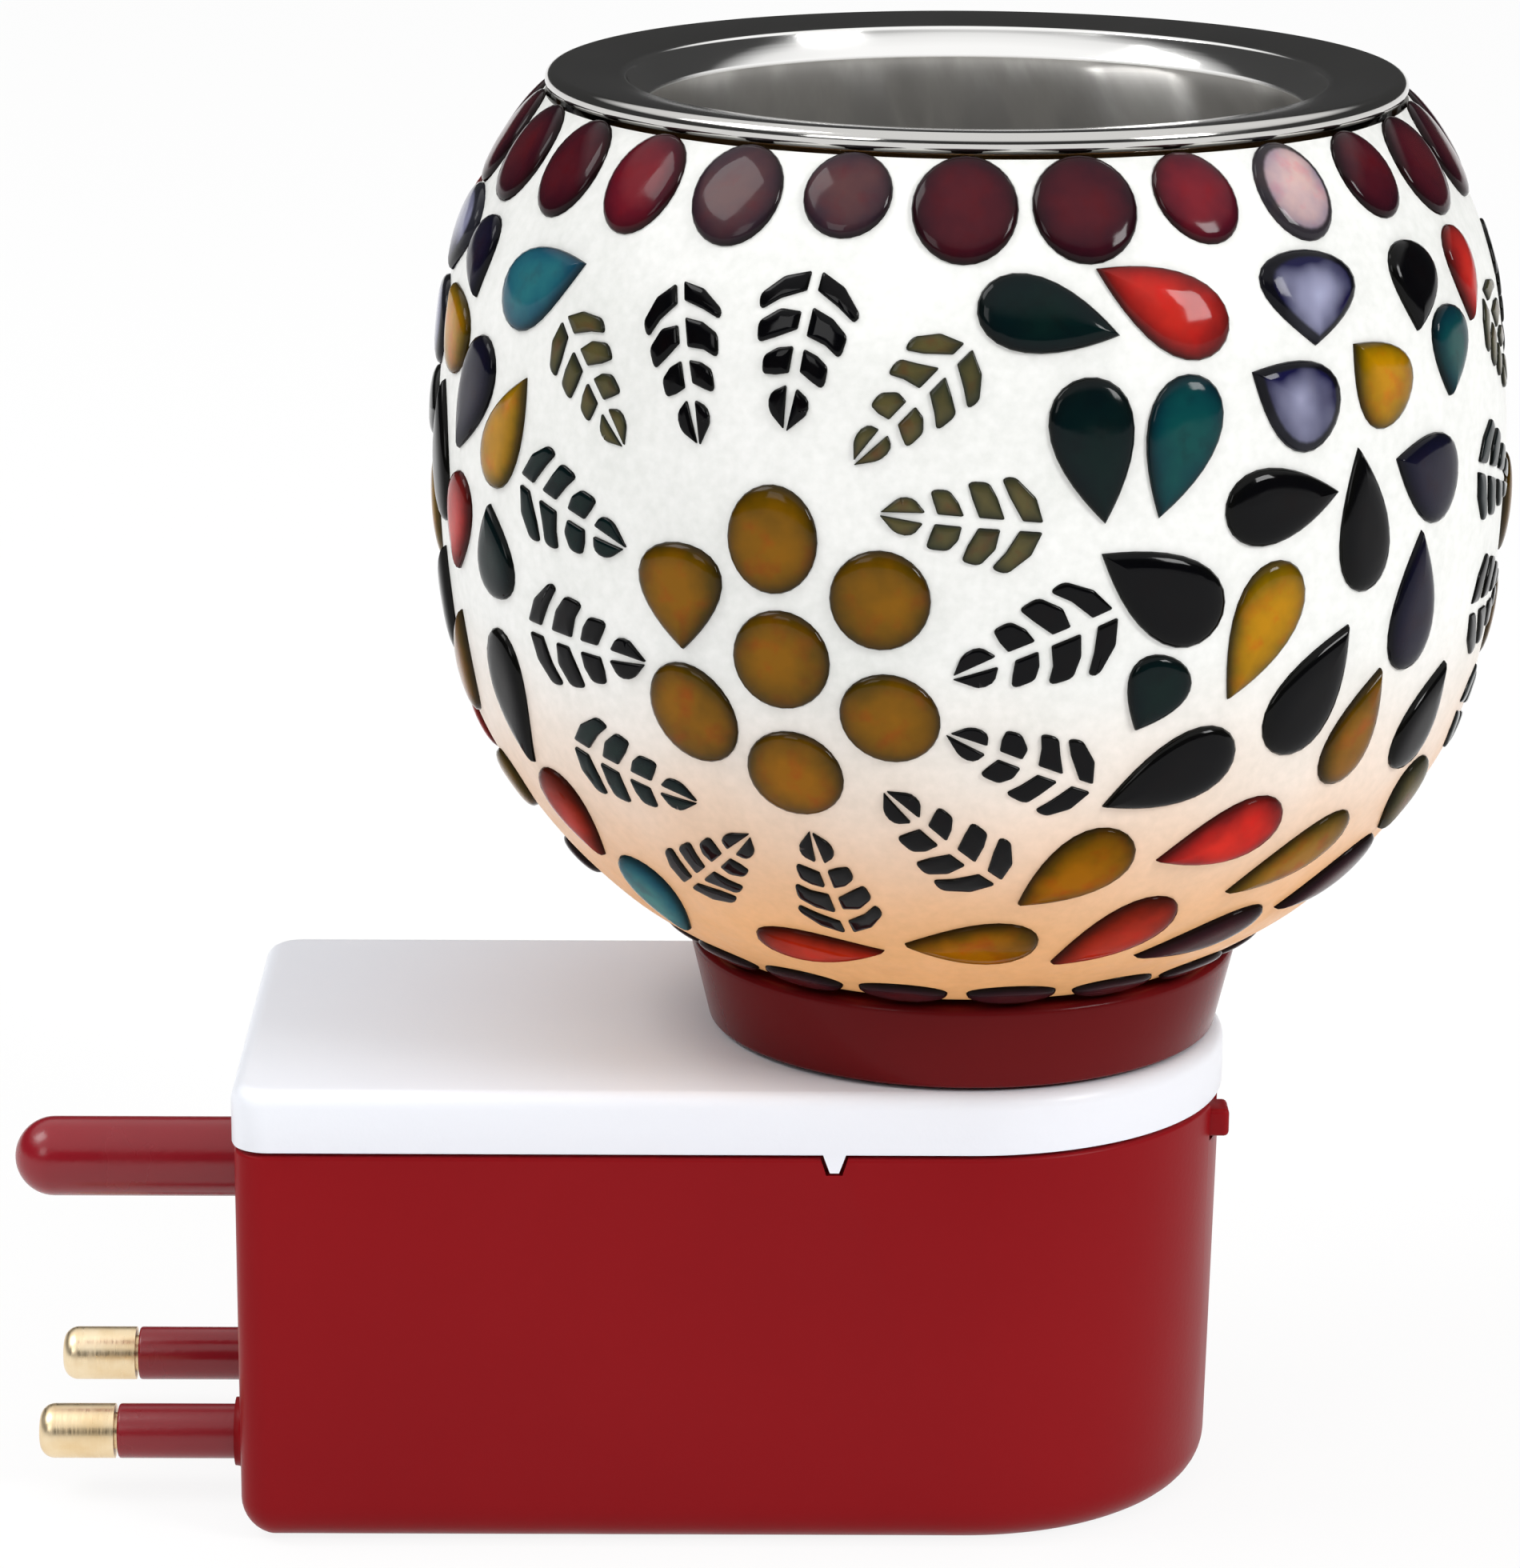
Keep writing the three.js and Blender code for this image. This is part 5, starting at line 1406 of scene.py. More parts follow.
@dataclass
class LampSeat:
    """Collar, gasket, lamp holder and the ring that clamps them to the lid."""

    finishes: Finishes
    collar_wall: float = 1.8 * MM
    collar_floor: float = 2 * MM
    collar_taper: float = 1.8 * MM
    gasket_width: float = 2.4 * MM
    gasket_round: float = 0.45 * MM
    holder_radius: float = 12.4 * MM
    nose_radius: float = 10.4 * MM
    nose_height: float = 4 * MM
    shell_room: float = 7.9 * MM
    flange_top: float = 39 * MM
    flange_foot: float = 37 * MM
    skirt_radius: float = 11 * MM
    skirt_wall: float = 1.8 * MM
    web: float = 40.2 * MM
    barrel_steps: int = 60
    thread_pitch: float = 2.2 * MM
    thread_depth: float = 0.55 * MM
    thread_skin: float = 0.1 * MM
    thread_start: float = 2.5 * MM
    thread_end: float = 1 * MM
    grips: int = 8
    grip_depth: float = 0.9 * MM
    collar_sides: int = 144
    ring_sides: int = 160

    def collar(self) -> None:
        """Glossy conical ring that the globe stands in."""
        low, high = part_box("collar")
        rim = high.y
        foot = rim - self.collar_taper
        bore = foot - self.collar_wall
        profile = rounded([
            (HOLDER_HOLE, low.z, 0.2 * MM),
            (foot, low.z, 0.6 * MM),
            (rim, high.z, 0.7 * MM),
            (bore, high.z, 0.5 * MM),
            (bore, low.z + self.collar_floor, 0.5 * MM),
            (HOLDER_HOLE, low.z + self.collar_floor, 0.2 * MM),
        ])
        collar = revolve("collar_ring", profile, self.collar_sides)
        settle(collar, self.finishes.maroon, Body.BASE, ["collar"])

    def gasket(self) -> None:
        """Soft ring with rounded edges under the globe's neck."""
        low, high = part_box("globe_gasket")
        outer = high.y
        inner = outer - self.gasket_width
        corners = ((inner, low.z), (outer, low.z), (outer, high.z), (inner, high.z))
        profile = rounded([(*corner, self.gasket_round) for corner in corners])
        gasket = revolve("neck_gasket", profile)
        settle(gasket, self.finishes.rubber, Body.BASE, ["globe_gasket"])

    def holder(self) -> None:
        """Dark moulded holder: a threaded barrel, a nose round the lamp's cap and a flange under the lid."""
        low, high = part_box("lamp_holder")
        shoulder = high.z - self.nose_height
        top, foot, skirt = self.flange_top, self.flange_foot, self.skirt_radius
        bore = skirt - self.skirt_wall
        profile = [(0, foot), (bore, foot), (bore, low.z), (skirt, low.z)]
        profile += [(skirt, foot), (high.x, foot), (high.x, top), (self.holder_radius, top)]
        for step in range(1, self.barrel_steps):
            profile.append((self.holder_radius, top + (shoulder - top) * step / self.barrel_steps))
        profile += rounded([
            (self.holder_radius, shoulder, 0.6 * MM),
            (self.nose_radius, shoulder, 0.4 * MM),
            (self.nose_radius, high.z, 0.8 * MM),
            (self.shell_room, high.z, 0.4 * MM),
        ])
        profile += [(self.shell_room, self.web), (0, self.web)]
        holder = revolve("lamp_holder_body", profile)
        start, end = top + self.thread_start, shoulder - self.thread_end
        least = self.holder_radius - self.thread_skin
        reshape(holder, threaded(self.thread_pitch, self.thread_depth, start, end, least))
        settle(holder, self.finishes.dark, Body.BASE, ["lamp_holder"])

    def shade_ring(self) -> None:
        """Ring nut with round finger grips."""
        low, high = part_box("shade_ring")
        outer = high.x
        profile = rounded([
            (HOLDER_HOLE, low.z, 0.3 * MM),
            (outer, low.z, 0.5 * MM),
            (outer, high.z, 0.7 * MM),
            (HOLDER_HOLE, high.z, 0.4 * MM),
        ])
        ring = revolve("clamp_ring", profile, self.ring_sides)

        def scallop(radius: float, angle: float, _: float) -> float:
            """Radius of a point, drawn in by the grips, which fade towards the bore."""
            outward = max(0.0, (radius - HOLDER_HOLE) / (outer - HOLDER_HOLE))
            return radius - self.grip_depth * max(0.0, math.cos(self.grips * angle)) ** 2 * outward**3

        reshape(ring, scallop)
        settle(ring, self.finishes.dark, Body.BASE, ["shade_ring"])

    def build(self) -> None:
        """Builds every piece of the lamp's seat."""
        self.collar()
        self.gasket()
        self.holder()
        self.shade_ring()


@dataclass
class Lamp:
    """Small screw lamp: cap, insulator, tip, glass, stem and wire."""

    finishes: Finishes
    glass: float = 0.8 * MM
    neck_depth: float = 11 * MM
    shoulder_steps: int = 18
    thread_pitch: float = 2.8 * MM
    thread_depth: float = 0.75 * MM
    thread_margin: float = 1.5 * MM
    thread_skin: float = 0.1 * MM
    cap_sheet: float = 0.5 * MM
    cap_mouth: float = 3.4 * MM
    cap_foot: float = 1.2 * MM
    hem_start: float = 1.1 * MM
    hem_end: float = 0.5 * MM
    hem_rise: float = 0.4 * MM
    cap_steps: int = 70
    foot_rows: int = 2
    mouth_rows: int = 6
    cone_foot: float = 2.8 * MM
    cone_round: float = 0.35 * MM
    stem_post: float = 1.9 * MM
    stem_flare: float = 1.1 * MM
    stem_rise: float = 6.6 * MM
    wire: float = 0.16 * MM
    wire_room: float = 0.4 * MM
    leg_start: float = 1 * MM
    leg_knee: Point2 = (1.9 * MM, 4 * MM)
    coil_drop: float = 2 * MM
    coil_bow: float = 1.6 * MM
    coil_radius: float = 0.5 * MM
    coil_turns: int = 16
    coil_steps: int = 12
    cap_sides: int = 72
    cone_sides: int = 64
    tip_sides: int = 40
    bulb_sides: int = 80
    stem_sides: int = 48

    def __post_init__(self) -> None:
        """Takes the lamp's sizes from its solids."""
        self.cap_low, self.cap_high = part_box("bulb_cap")
        self.bulb_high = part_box("bulb_envelope")[1]
        self.neck = self.cap_high.x - self.cap_sheet - CLEARANCE

    def cap(self) -> None:
        """Pressed cap with a rolled thread and a crimped mouth."""
        low, high, radius = self.cap_low.z, self.cap_high.z, self.cap_high.x
        foot = low + self.cap_foot
        wall = [foot + (high - foot) * step / self.cap_steps for step in range(self.cap_steps + 1)]
        hem = [(radius - self.hem_start, low), (radius - self.hem_end, low + self.hem_rise)]
        profile = [(self.cap_mouth, low), *hem]
        profile += [(radius, height) for height in wall]
        inner = radius - self.cap_sheet
        profile.append((inner, high))
        inner_wall = wall[self.foot_rows : -self.mouth_rows]
        profile += [(inner - self.thread_depth, height) for height in reversed(inner_wall)]
        profile.append((self.cap_mouth, low + self.cap_sheet))
        cap = revolve("lamp_cap", profile, self.cap_sides)
        start, end = low + self.thread_margin, high - self.thread_margin
        rule = threaded(self.thread_pitch, self.thread_depth, start, end, radius - self.thread_skin)
        reshape(cap, rule)
        settle(cap, self.finishes.cap, Body.BULB, ["bulb_cap"])

    def insulator(self) -> None:
        """Dark glass cone between cap and tip."""
        low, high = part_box("bulb_insulator")
        corners = ((self.cone_foot, low.z, self.cone_round), (high.y, high.z, self.cone_round))
        profile = rounded([(0, low.z, 0), *corners, (0, high.z, 0)])
        cone = revolve("lamp_insulator", profile, self.cone_sides)
        settle(cone, self.finishes.dark, Body.BULB, ["bulb_insulator"])

    def tip(self) -> None:
        """Solder dome at the foot of the lamp."""
        low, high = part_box("bulb_tip")
        rise = high.z - low.z
        dome = [(high.y * x, high.z + rise * y) for x, y in arc((0, 0), 1, -QUARTER, 0, steps=7)[1:]]
        tip = revolve("lamp_tip", [(0, low.z), *dome, (0, high.z)], self.tip_sides)
        settle(tip, self.finishes.cap, Body.BULB, ["bulb_tip"])

    def skin(self, inset: float) -> list[Point2]:
        """Outer or inner line of the glass, from its neck to its crown.

        Args:
            inset: how far it lies inside the outer line.

        Returns:
            Radius and height of each point.
        """
        top, radius = self.bulb_high.z, self.bulb_high.x
        belly = top - radius
        foot = self.cap_high.z
        shoulder = []
        for step in range(self.shoulder_steps + 1):
            t = step / self.shoulder_steps
            swell = 3 * t**2 - 2 * t**3
            rise = 1.5 * t * (1 - t) ** 2 + 1.5 * t**2 * (1 - t) + t**3
            shoulder.append((self.neck - inset + swell * (radius - self.neck), foot + rise * (belly - foot)))
        crown = arc((0, belly), radius - inset, 0, QUARTER, steps=20)[1:-1]
        return [(self.neck - inset, foot - self.neck_depth), *shoulder, *crown, (0, top - inset)]

    def envelope(self) -> None:
        """Clear glass bulb, open at its neck."""
        profile = [*reversed(self.skin(self.glass)), *self.skin(0)]
        bulb = revolve("lamp_bulb", profile, self.bulb_sides)
        settle(bulb, self.finishes.lamp_glass, Body.BULB, ["bulb_envelope"])

    def stem(self) -> None:
        """Glass stem with its flare at the neck."""
        low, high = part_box("bulb_stem")
        flare, post = high.y, self.stem_post
        profile = rounded([
            (0, low.z, 0),
            (flare, low.z, 0.2 * MM),
            (flare, low.z + self.glass, 0.2 * MM),
            (flare - self.stem_flare, low.z + self.glass, 0),
            (post, low.z + self.stem_rise, 1.5 * MM),
            (post, high.z, 0.8 * MM),
            (0, high.z, 0),
        ])
        stem = revolve("lamp_stem", profile, self.stem_sides)
        settle(stem, self.finishes.lamp_glass, Body.BULB, ["bulb_stem"])

    def filament(self) -> None:
        """Two supports and a coiled wire between them, bent as one line."""
        low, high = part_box("bulb_filament")
        spread = high.x - self.wire_room
        foot = low.z + self.wire_room
        level = high.z - self.wire_room - self.coil_drop
        knee_out, knee_up = self.leg_knee
        line_of_leg = ((-self.leg_start, foot), (-knee_out, foot + knee_up), (-spread, level))
        leg = [Vector((x, 0, z)) for x, z in line_of_leg]
        coil = []
        count = self.coil_turns * self.coil_steps
        for step in range(count + 1):
            share = step / count
            angle = FULL_TURN * step / self.coil_steps
            rise = self.coil_bow * math.sin(math.pi * share) + self.coil_radius * math.sin(angle)
            coil.append(Vector((spread * (2 * share - 1), self.coil_radius * math.cos(angle), level + rise)))
        far_leg = [Vector((-point.x, 0, point.z)) for point in reversed(leg)]
        curve = bpy.data.curves.new("lamp_wire", "CURVE")
        curve.dimensions = "3D"
        curve.bevel_depth = self.wire
        curve.bevel_resolution = 1
        curve.use_fill_caps = True
        line = curve.splines.new("POLY")
        points = leg + coil + far_leg
        line.points.add(len(points) - 1)
        for spot, point in zip(line.points, points):
            spot.co = (*point, 1)
        drawn = bpy.data.objects.new("lamp_wire_line", curve)
        bpy.context.scene.collection.objects.link(drawn)
        wire = new_piece("lamp_filament", meshed(drawn))
        bpy.data.objects.remove(drawn)
        shade(wire.data)
        settle(wire, self.finishes.filament, Body.BULB, ["bulb_filament"])

    def build(self) -> None:
        """Builds every piece of the lamp."""
        self.cap()
        self.insulator()
        self.tip()
        self.envelope()
        self.stem()
        self.filament()


@dataclass(frozen=True)
class Tile:
    """A glass tile on the globe.

    The azimuth is in degrees from the front, growing to the right. The arc is the way up the globe's side
    from its foot, in millimetres, as are length and width. The turn is the way that it points, in degrees up
    from the right.
    """

    tint: Tint
    azimuth: float
    arc: float
    length: float
    width: float
    turn: float = 0


# How much painted reflection, pale patches that stand for the gleam of a light, the glass of a tint gets
PAINTED_REFLECTION_SHARES = {Tint.LILAC: 0.75, Tint.ROSE: 0.3}
# Tint, length, width and turn of a tile at the mouth, and of those that differ, by their number
MOUTH_TILE = (Tint.MAROON, 9.4, 8.4, 90)
ODD_MOUTH_TILES = {
    2: (Tint.CRIMSON, 8.4, 6.8, 112),
    # This tile's pale pink is a painted reflection of a light.
    3: (Tint.ROSE, 8.9, 7, 98),
    4: (Tint.MAROON, 8.2, 6.8, 100),
    22: (Tint.MAROON, 9.2, 7.4, 86),
    23: (Tint.CRIMSON, 9.2, 7.4, 82),
    24: (Tint.SMOKE, 9, 7.9, 90),
    25: (Tint.SMOKE, 7.6, 7.2, 90),
}
# Bearing from the eye of the flower, length, width and turn of the round petals and of the pointed one
PETALS = (
    (94, 8.8, 7.6, 90),
    (34, 8.1, 8.1, 0),
    (334, 8.2, 7.4, -20),
    (274, 8.2, 7.4, -15),
    (214, 9, 7.4, -50),
)
POINTED_PETAL = (154, 8.8, 7.8, -88)
# Tint, azimuth from the middle between two flowers, arc, length, width and turn of the drops there
DROPS = (
    (Tint.PINE, -33, 70.5, 11.5, 6.2, -14),
    (Tint.RED, -20.7, 71.3, 12, 6.5, 148),
    # This drop and the third below it carry a painted pale reflection.
    (Tint.LILAC, -2.6, 70.8, 7.8, 9.6, -96),
    (Tint.PINE, -28.5, 60.1, 11.6, 6.8, -82),
    (Tint.TEAL, -19.7, 60.1, 11.6, 6.2, -108),
    (Tint.LILAC, -6.2, 63, 9.4, 7.2, 148),
    (Tint.HONEY, 5.8, 63.6, 8.2, 7, 132),
    (Tint.BLACK, -7.8, 54.8, 11, 6.2, 4),
    (Tint.BLACK, 2.8, 52.4, 12, 5.6, 96),
    (Tint.BLACK, -21.5, 48.7, 12, 7, 147),
    (Tint.HONEY, -10.2, 44.6, 12, 6.2, -115),
    (Tint.PINE, -21.7, 40.2, 6.6, 5.4, -115),
    (Tint.BLACK, -2.7, 38.9, 12, 6.6, 57),
    (Tint.AMBER, 4.8, 34.6, 10.5, 5.2, 67),
    (Tint.BLACK, -19, 32.9, 12, 6, -155),
    (Tint.RED, -10.7, 26, 11.6, 6.2, -161),
    (Tint.OLIVE, 2.3, 21.9, 12.5, 5.4, -147),
    (Tint.AMBER, -28.2, 23.5, 11.2, 6.6, -136),
    (Tint.RUST, -20, 14.4, 12, 6.4, -135),
    (Tint.AMBER, -39.7, 13.7, 11, 6, -175),
    (Tint.RUST, -62.2, 11.7, 11.5, 4.8, 1),
    (Tint.PLUM, -4, 12, 12, 4.5, -159),
)
# The same for the drops at the right, which differ in the last gap
RIGHT_EDGE = (
    (Tint.BLACK, 14.3, 70.2, 7.6, 6.4, -105),
    (Tint.RED, 26, 69.9, 8.2, 5, -93),
    (Tint.TEAL, 19.4, 64.3, 7.5, 6, -98),
    (Tint.NAVY, 13.5, 54.9, 9.6, 7.4, 157),
    (Tint.NAVY, 12, 44.5, 11.8, 6, 87),
    (Tint.BLACK, 17.8, 33.6, 10, 5.6, 60),
    (Tint.MOSS, 22.5, 25, 8, 5.5, -83),
    (Tint.PLUM, 17, 16.5, 11.5, 5.6, -150),
)
LEFT_EDGE = (
    (Tint.NAVY, 10, 70, 7.2, 5.8, -70),
    (Tint.SEA, 25.7, 69.7, 11.2, 6.8, 26),
    (Tint.HONEY, 22.5, 57.1, 11, 5.4, 61),
    (Tint.NAVY, 14, 58.8, 11.2, 6, -118),
    (Tint.RED, 10.5, 47.6, 9, 5.4, -106),
    (Tint.PINE, 20.2, 46.6, 8, 6, 99),
    (Tint.BLACK, 20, 34, 12, 5.6, -83),
    (Tint.RUST, 24.5, 23.4, 9.5, 6, -83),
    (Tint.SEA, 31.7, 14.6, 10.5, 5.8, -93),
)
# Tint, place of the tip across and up from the eye of the flower, turn, length and width of each fern
FERNS = (
    (Tint.BLACK, 0.1, 18.4, 83, 13.4, 8.6),
    (Tint.MOSS, 5.8, 16.4, 47, 13.4, 7.4),
    (Tint.MOSS, 7.9, 12.5, -4, 13.4, 7.8),
    (Tint.BLACK, 13.8, -0.7, 22, 14.4, 8.4),
    (Tint.BLACK, 13.4, -5.5, -23, 13.2, 7.4),
    (Tint.BLACK, 7.9, -10.7, -46, 13.6, 8),
    (Tint.BLACK, 1.4, -15.1, -85, 13.2, 7.4),
    (Tint.BLACK, -4.3, -16.6, -138, 12.6, 7.4),
    (Tint.PINE, -9, -14, 166, 13.6, 7.8),
    (Tint.BLACK, -12.4, -2, 177, 14.4, 9),
    (Tint.PINE, -14.2, 7.4, 164, 13.8, 8.6),
    (Tint.MOSS, -14.4, 15.6, 131, 12.6, 7.4),
    (Tint.BLACK, -7.2, 16.6, 105, 13.6, 7.4),
)


@dataclass
class MosaicGlobe:
    """Glass globe with its skin of grout and tiles."""

    finishes: Finishes
    grout: float = 1.2 * MM
    glass: float = 2.4 * MM
    belly_rise: float = 42 * MM
    foot_radius: float = 22.9 * MM
    radius: float = 45.5 * MM
    mouth_radius: float = 36.3 * MM
    lip_rise: float = 1 * MM
    lip_radius: float = 34.2 * MM
    lip_inner: float = 32.8 * MM
    lip_drop: float = 1 * MM
    bore_drop: float = 2 * MM
    neck_radius: float = 20 * MM
    line_steps: int = 120
    sides: int = 240
    medallions: int = 3
    front_medallion: float = -21.5
    flower_arc: float = 42.6
    petal_ring: float = 9.8
    flower_eye: float = 8.2
    fern_kinds: int = 3
    fern_slip: float = 0.04
    mouth_tiles: int = 26
    mouth_start: float = -3.5
    mouth_overlap: float = 0.3
    foot_tiles: int = 17
    foot_start: float = -14
    # Arc, length and width of a tile at the foot
    foot_tile: Point3 = (2, 7.6, 4.2)
    dull_arc: float = 30
    tile_sink: float = 0.5 * MM
    tile_edge: float = 0.12 * MM
    dome_rings: tuple[float, ...] = (0.3, 0.55, 0.75, 0.88, 0.96, 1)
    disc_dome: float = 0.6 * MM
    foot_dome: float = 0.5 * MM
    fern_dome: float = 0.2 * MM
    drop_dome: float = 0.7 * MM
    wave_height: float = 0.03 * MM
    waves: tuple[Point2, ...] = ((9, 220), (17, -410))
    glass_sides: int = 144

    def __post_init__(self) -> None:
        """Works out the globe's outer line from its solids and the shares of its curve."""
        self.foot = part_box("mosaic_skin")[0].z
        self.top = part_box("glass_globe")[1].z - self.lip_rise
        bowl = ((0, 0), (0.13, 0.36), (0.3, 0.65), (0.49, 0.86), (0.73, 0.965), (1, 1))
        shoulder = ((0.29, 0.95), (0.55, 0.83), (0.75, 0.57), (0.9, 0.27), (1, 0))
        belly = self.foot + self.belly_rise
        below = self.radius - self.foot_radius
        above = self.radius - self.mouth_radius
        points = []
        for rise, swell in bowl:
            points.append((self.foot_radius + swell * below, self.foot + rise * self.belly_rise))
        for rise, swell in shoulder:
            points.append((self.mouth_radius + swell * above, belly + rise * (self.top - belly)))
        self.line = smooth_line(points, self.line_steps)
        steps = zip(self.line, self.line[1:])
        self.length = sum(math.dist(before, after) for before, after in steps)

    def inside(self, depth: float) -> list[Point2]:
        """The globe's outer line, moved in square to its surface.

        Args:
            depth: how far it moves.

        Returns:
            Radius and height of each point.
        """
        moved = []
        last = len(self.line) - 1
        for index, (radius, height) in enumerate(self.line):
            before, after = self.line[max(index - 1, 0)], self.line[min(index + 1, last)]
            along = Vector((after[0] - before[0], after[1] - before[1])).normalized()
            moved.append((radius - depth * along.y, height + depth * along.x))
        return moved

    def station(self, arc_mm: float) -> tuple[Vector, Vector]:
        """Place and direction of the outer line at a way up from its foot.

        Args:
            arc_mm: the way up, in millimetres.

        Returns:
            Radius and height there, and the line's unit direction.
        """
        spot = min(max(arc_mm * MM / self.length, 0), 1) * self.line_steps
        index = min(int(spot), self.line_steps - 1)
        before, after = Vector(self.line[index]), Vector(self.line[index + 1])
        return before.lerp(after, spot - index), (after - before).normalized()

    def glass_globe(self) -> None:
        """Blown glass with a neck that stands in the collar and a lip that carries the dish."""
        low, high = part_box("glass_globe")
        outside = self.inside(self.grout + CLEARANCE)
        inside = self.inside(self.grout + CLEARANCE + self.glass)
        neck_inner = self.neck_radius - self.glass
        bore_top = self.top - self.bore_drop
        kept = [point for point in inside if point[0] > neck_inner and point[1] < bore_top]
        profile = [(neck_inner, low.z), (self.neck_radius, low.z), (self.neck_radius, self.foot)]
        profile += outside[1:-1]
        profile += [(self.lip_radius, self.top), (self.lip_radius, high.z), (self.lip_inner, high.z)]
        profile += [(self.lip_inner, self.top - self.lip_drop), *reversed(kept)]
        globe = revolve("globe_glass", profile, self.glass_sides)
        settle(globe, self.finishes.globe_glass, Body.GLOBE, ["glass_globe"])

    def grout_skin(self) -> None:
        """White grout round the glass, a little uneven as if spread by hand."""
        profile = [*self.line, *reversed(self.inside(self.grout))]
        skin = revolve("grout_skin", profile, self.sides)

        def uneven(radius: float, angle: float, height: float) -> float:
            """Radius of a point, moved in or out by slow waves."""
            waves = sum(math.sin(turns * angle + pace * height) for turns, pace in self.waves)
            return radius + self.wave_height * waves

        reshape(skin, uneven)
        settle(skin, self.finishes.grout, Body.GLOBE, ["mosaic_skin"])

    def blank(self, outlines: Sequence[Sequence[Point2]], dome: float) -> Object:
        """Flat blank of one tile or more, each with the lift that makes it a low dome.

        Args:
            outlines: outline of each tile, in half sizes.
            dome: height of the dome.

        Returns:
            The blank, with lift and rim on its points.
        """
        vertices: list[Point3] = []
        faces: list[tuple[int, ...]] = []
        lifts: list[float] = []
        rims: list[float] = []
        for outline in outlines:
            count = len(outline)
            middle = Vector((sum(x for x, _ in outline), sum(y for _, y in outline))) / count
            start = len(vertices)
            vertices.append((*middle, 0))
            lifts.append(self.tile_edge + dome)
            rims.append(0)
            for share in self.dome_rings:
                for point in outline:
                    vertices.append((*middle.lerp(Vector(point), share), 0))
                    lifts.append(self.tile_edge + dome * math.sqrt(1 - share**4))
                    rims.append(share)
            for point in outline:
                vertices.append((*point, 0))
                lifts.append(-self.tile_sink)
                rims.append(1)
            rows = [range(first, first + count) for first in range(start + 1, len(vertices), count)]
            faces += [(start, rows[0][i], rows[0][(i + 1) % count]) for i in range(count)]
            for inner, outer in zip(rows, rows[1:]):
                for i in range(count):
                    j = (i + 1) % count
                    faces.append((inner[i], outer[i], outer[j], inner[j]))
            faces.append(tuple(reversed(rows[-1])))
        mesh = bpy.data.meshes.new("tile_blank")
        mesh.from_pydata(vertices, [], faces)
        for name, values in (("lift", lifts), ("rim", rims)):
            mesh.attributes.new(name, "FLOAT", "POINT").data.foreach_set("value", values)
        return new_piece("tile_blank", mesh)

    def drop_outline(self, point: float, steps: int = 28) -> list[Point2]:
        """Outline of a tile in half sizes.

        Args:
            point: 0 for a round tile, 1 for a drop with its point along +X.
            steps: how many points it has.

        Returns:
            The outline, anticlockwise.
        """
        raw = []
        for step in range(steps):
            angle = FULL_TURN * step / steps
            raw.append((math.cos(angle), math.sin(angle) * abs(math.sin(angle / 2)) ** point))
        widest = max(y for _, y in raw)
        return [(x, y / widest) for x, y in raw]

    def fern_outlines(self, hand: random.Random) -> list[list[Point2]]:
        """Outlines of a fern's eight leaflets in half sizes, its tip along -X.

        Args:
            hand: where the small slips of the hand that cut the leaflets come from.

        Returns:
            The outlines, each anticlockwise.
        """
        vein = 0.1
        rows = ((-0.31, -0.03, 0.64, 0.12), (0.18, 0.46, 0.86, 0.22), (0.68, 0.92, 1, 0.36))
        halves = [[(-1, 0.3 * vein, 0.01), (-0.82, 0.34, 0.25), (-0.6, 0.46, 0.14), (-0.48, vein, 0.03)]]
        for low, high, reach, sweep in rows:
            halves.append([
                (low, vein, 0.03),
                (low - 0.45 * sweep, 0.55 * reach, 0.25),
                (low - 0.9 * sweep, 0.94 * reach, 0.08),
                (high - 1.1 * sweep, reach, 0.1),
                (high - 0.35 * sweep, 0.6 * reach, 0.25),
                (high, vein, 0.03),
            ])
        leaflets = []
        for corners in halves:
            for side in (1, -1):
                cut = []
                for x, y, radius in corners[::-side]:
                    slip = hand.uniform(-self.fern_slip, self.fern_slip)
                    stray = hand.uniform(-self.fern_slip, self.fern_slip)
                    cut.append((x + slip, side * (y + stray * y), radius))
                leaflets.append(rounded(cut, steps=3))
        return leaflets

    def lay(self, name: str, tiles: Sequence[Tile], blank: Object, form: Object, dull: bool = False) -> None:
        """Lays tiles on the globe.

        Args:
            name: the piece's name.
            tiles: the tiles.
            blank: the shape that they share, which is used up.
            form: the surface that they bend to.
            dull: whether they have less gloss.
        """
        material = self.finishes.low_tiles if dull else self.finishes.tiles
        places, facings, sizes, tints = [], [], [], []
        for tile in tiles:
            spot, rise = self.station(tile.arc)
            angle = math.radians(tile.azimuth)
            sideways = Vector((math.cos(angle), math.sin(angle), 0))
            up = Vector((rise.x * math.sin(angle), -rise.x * math.cos(angle), rise.y))
            outward = sideways.cross(up)
            turn = math.radians(tile.turn)
            ahead = sideways * math.cos(turn) + up * math.sin(turn)
            axes = Matrix((ahead, outward.cross(ahead), outward)).transposed()
            places.append((spot.x * math.sin(angle), -spot.x * math.cos(angle), spot.y))
            facings += list(axes.to_euler())
            sizes += [tile.length * MM / 2, tile.width * MM / 2, 1]
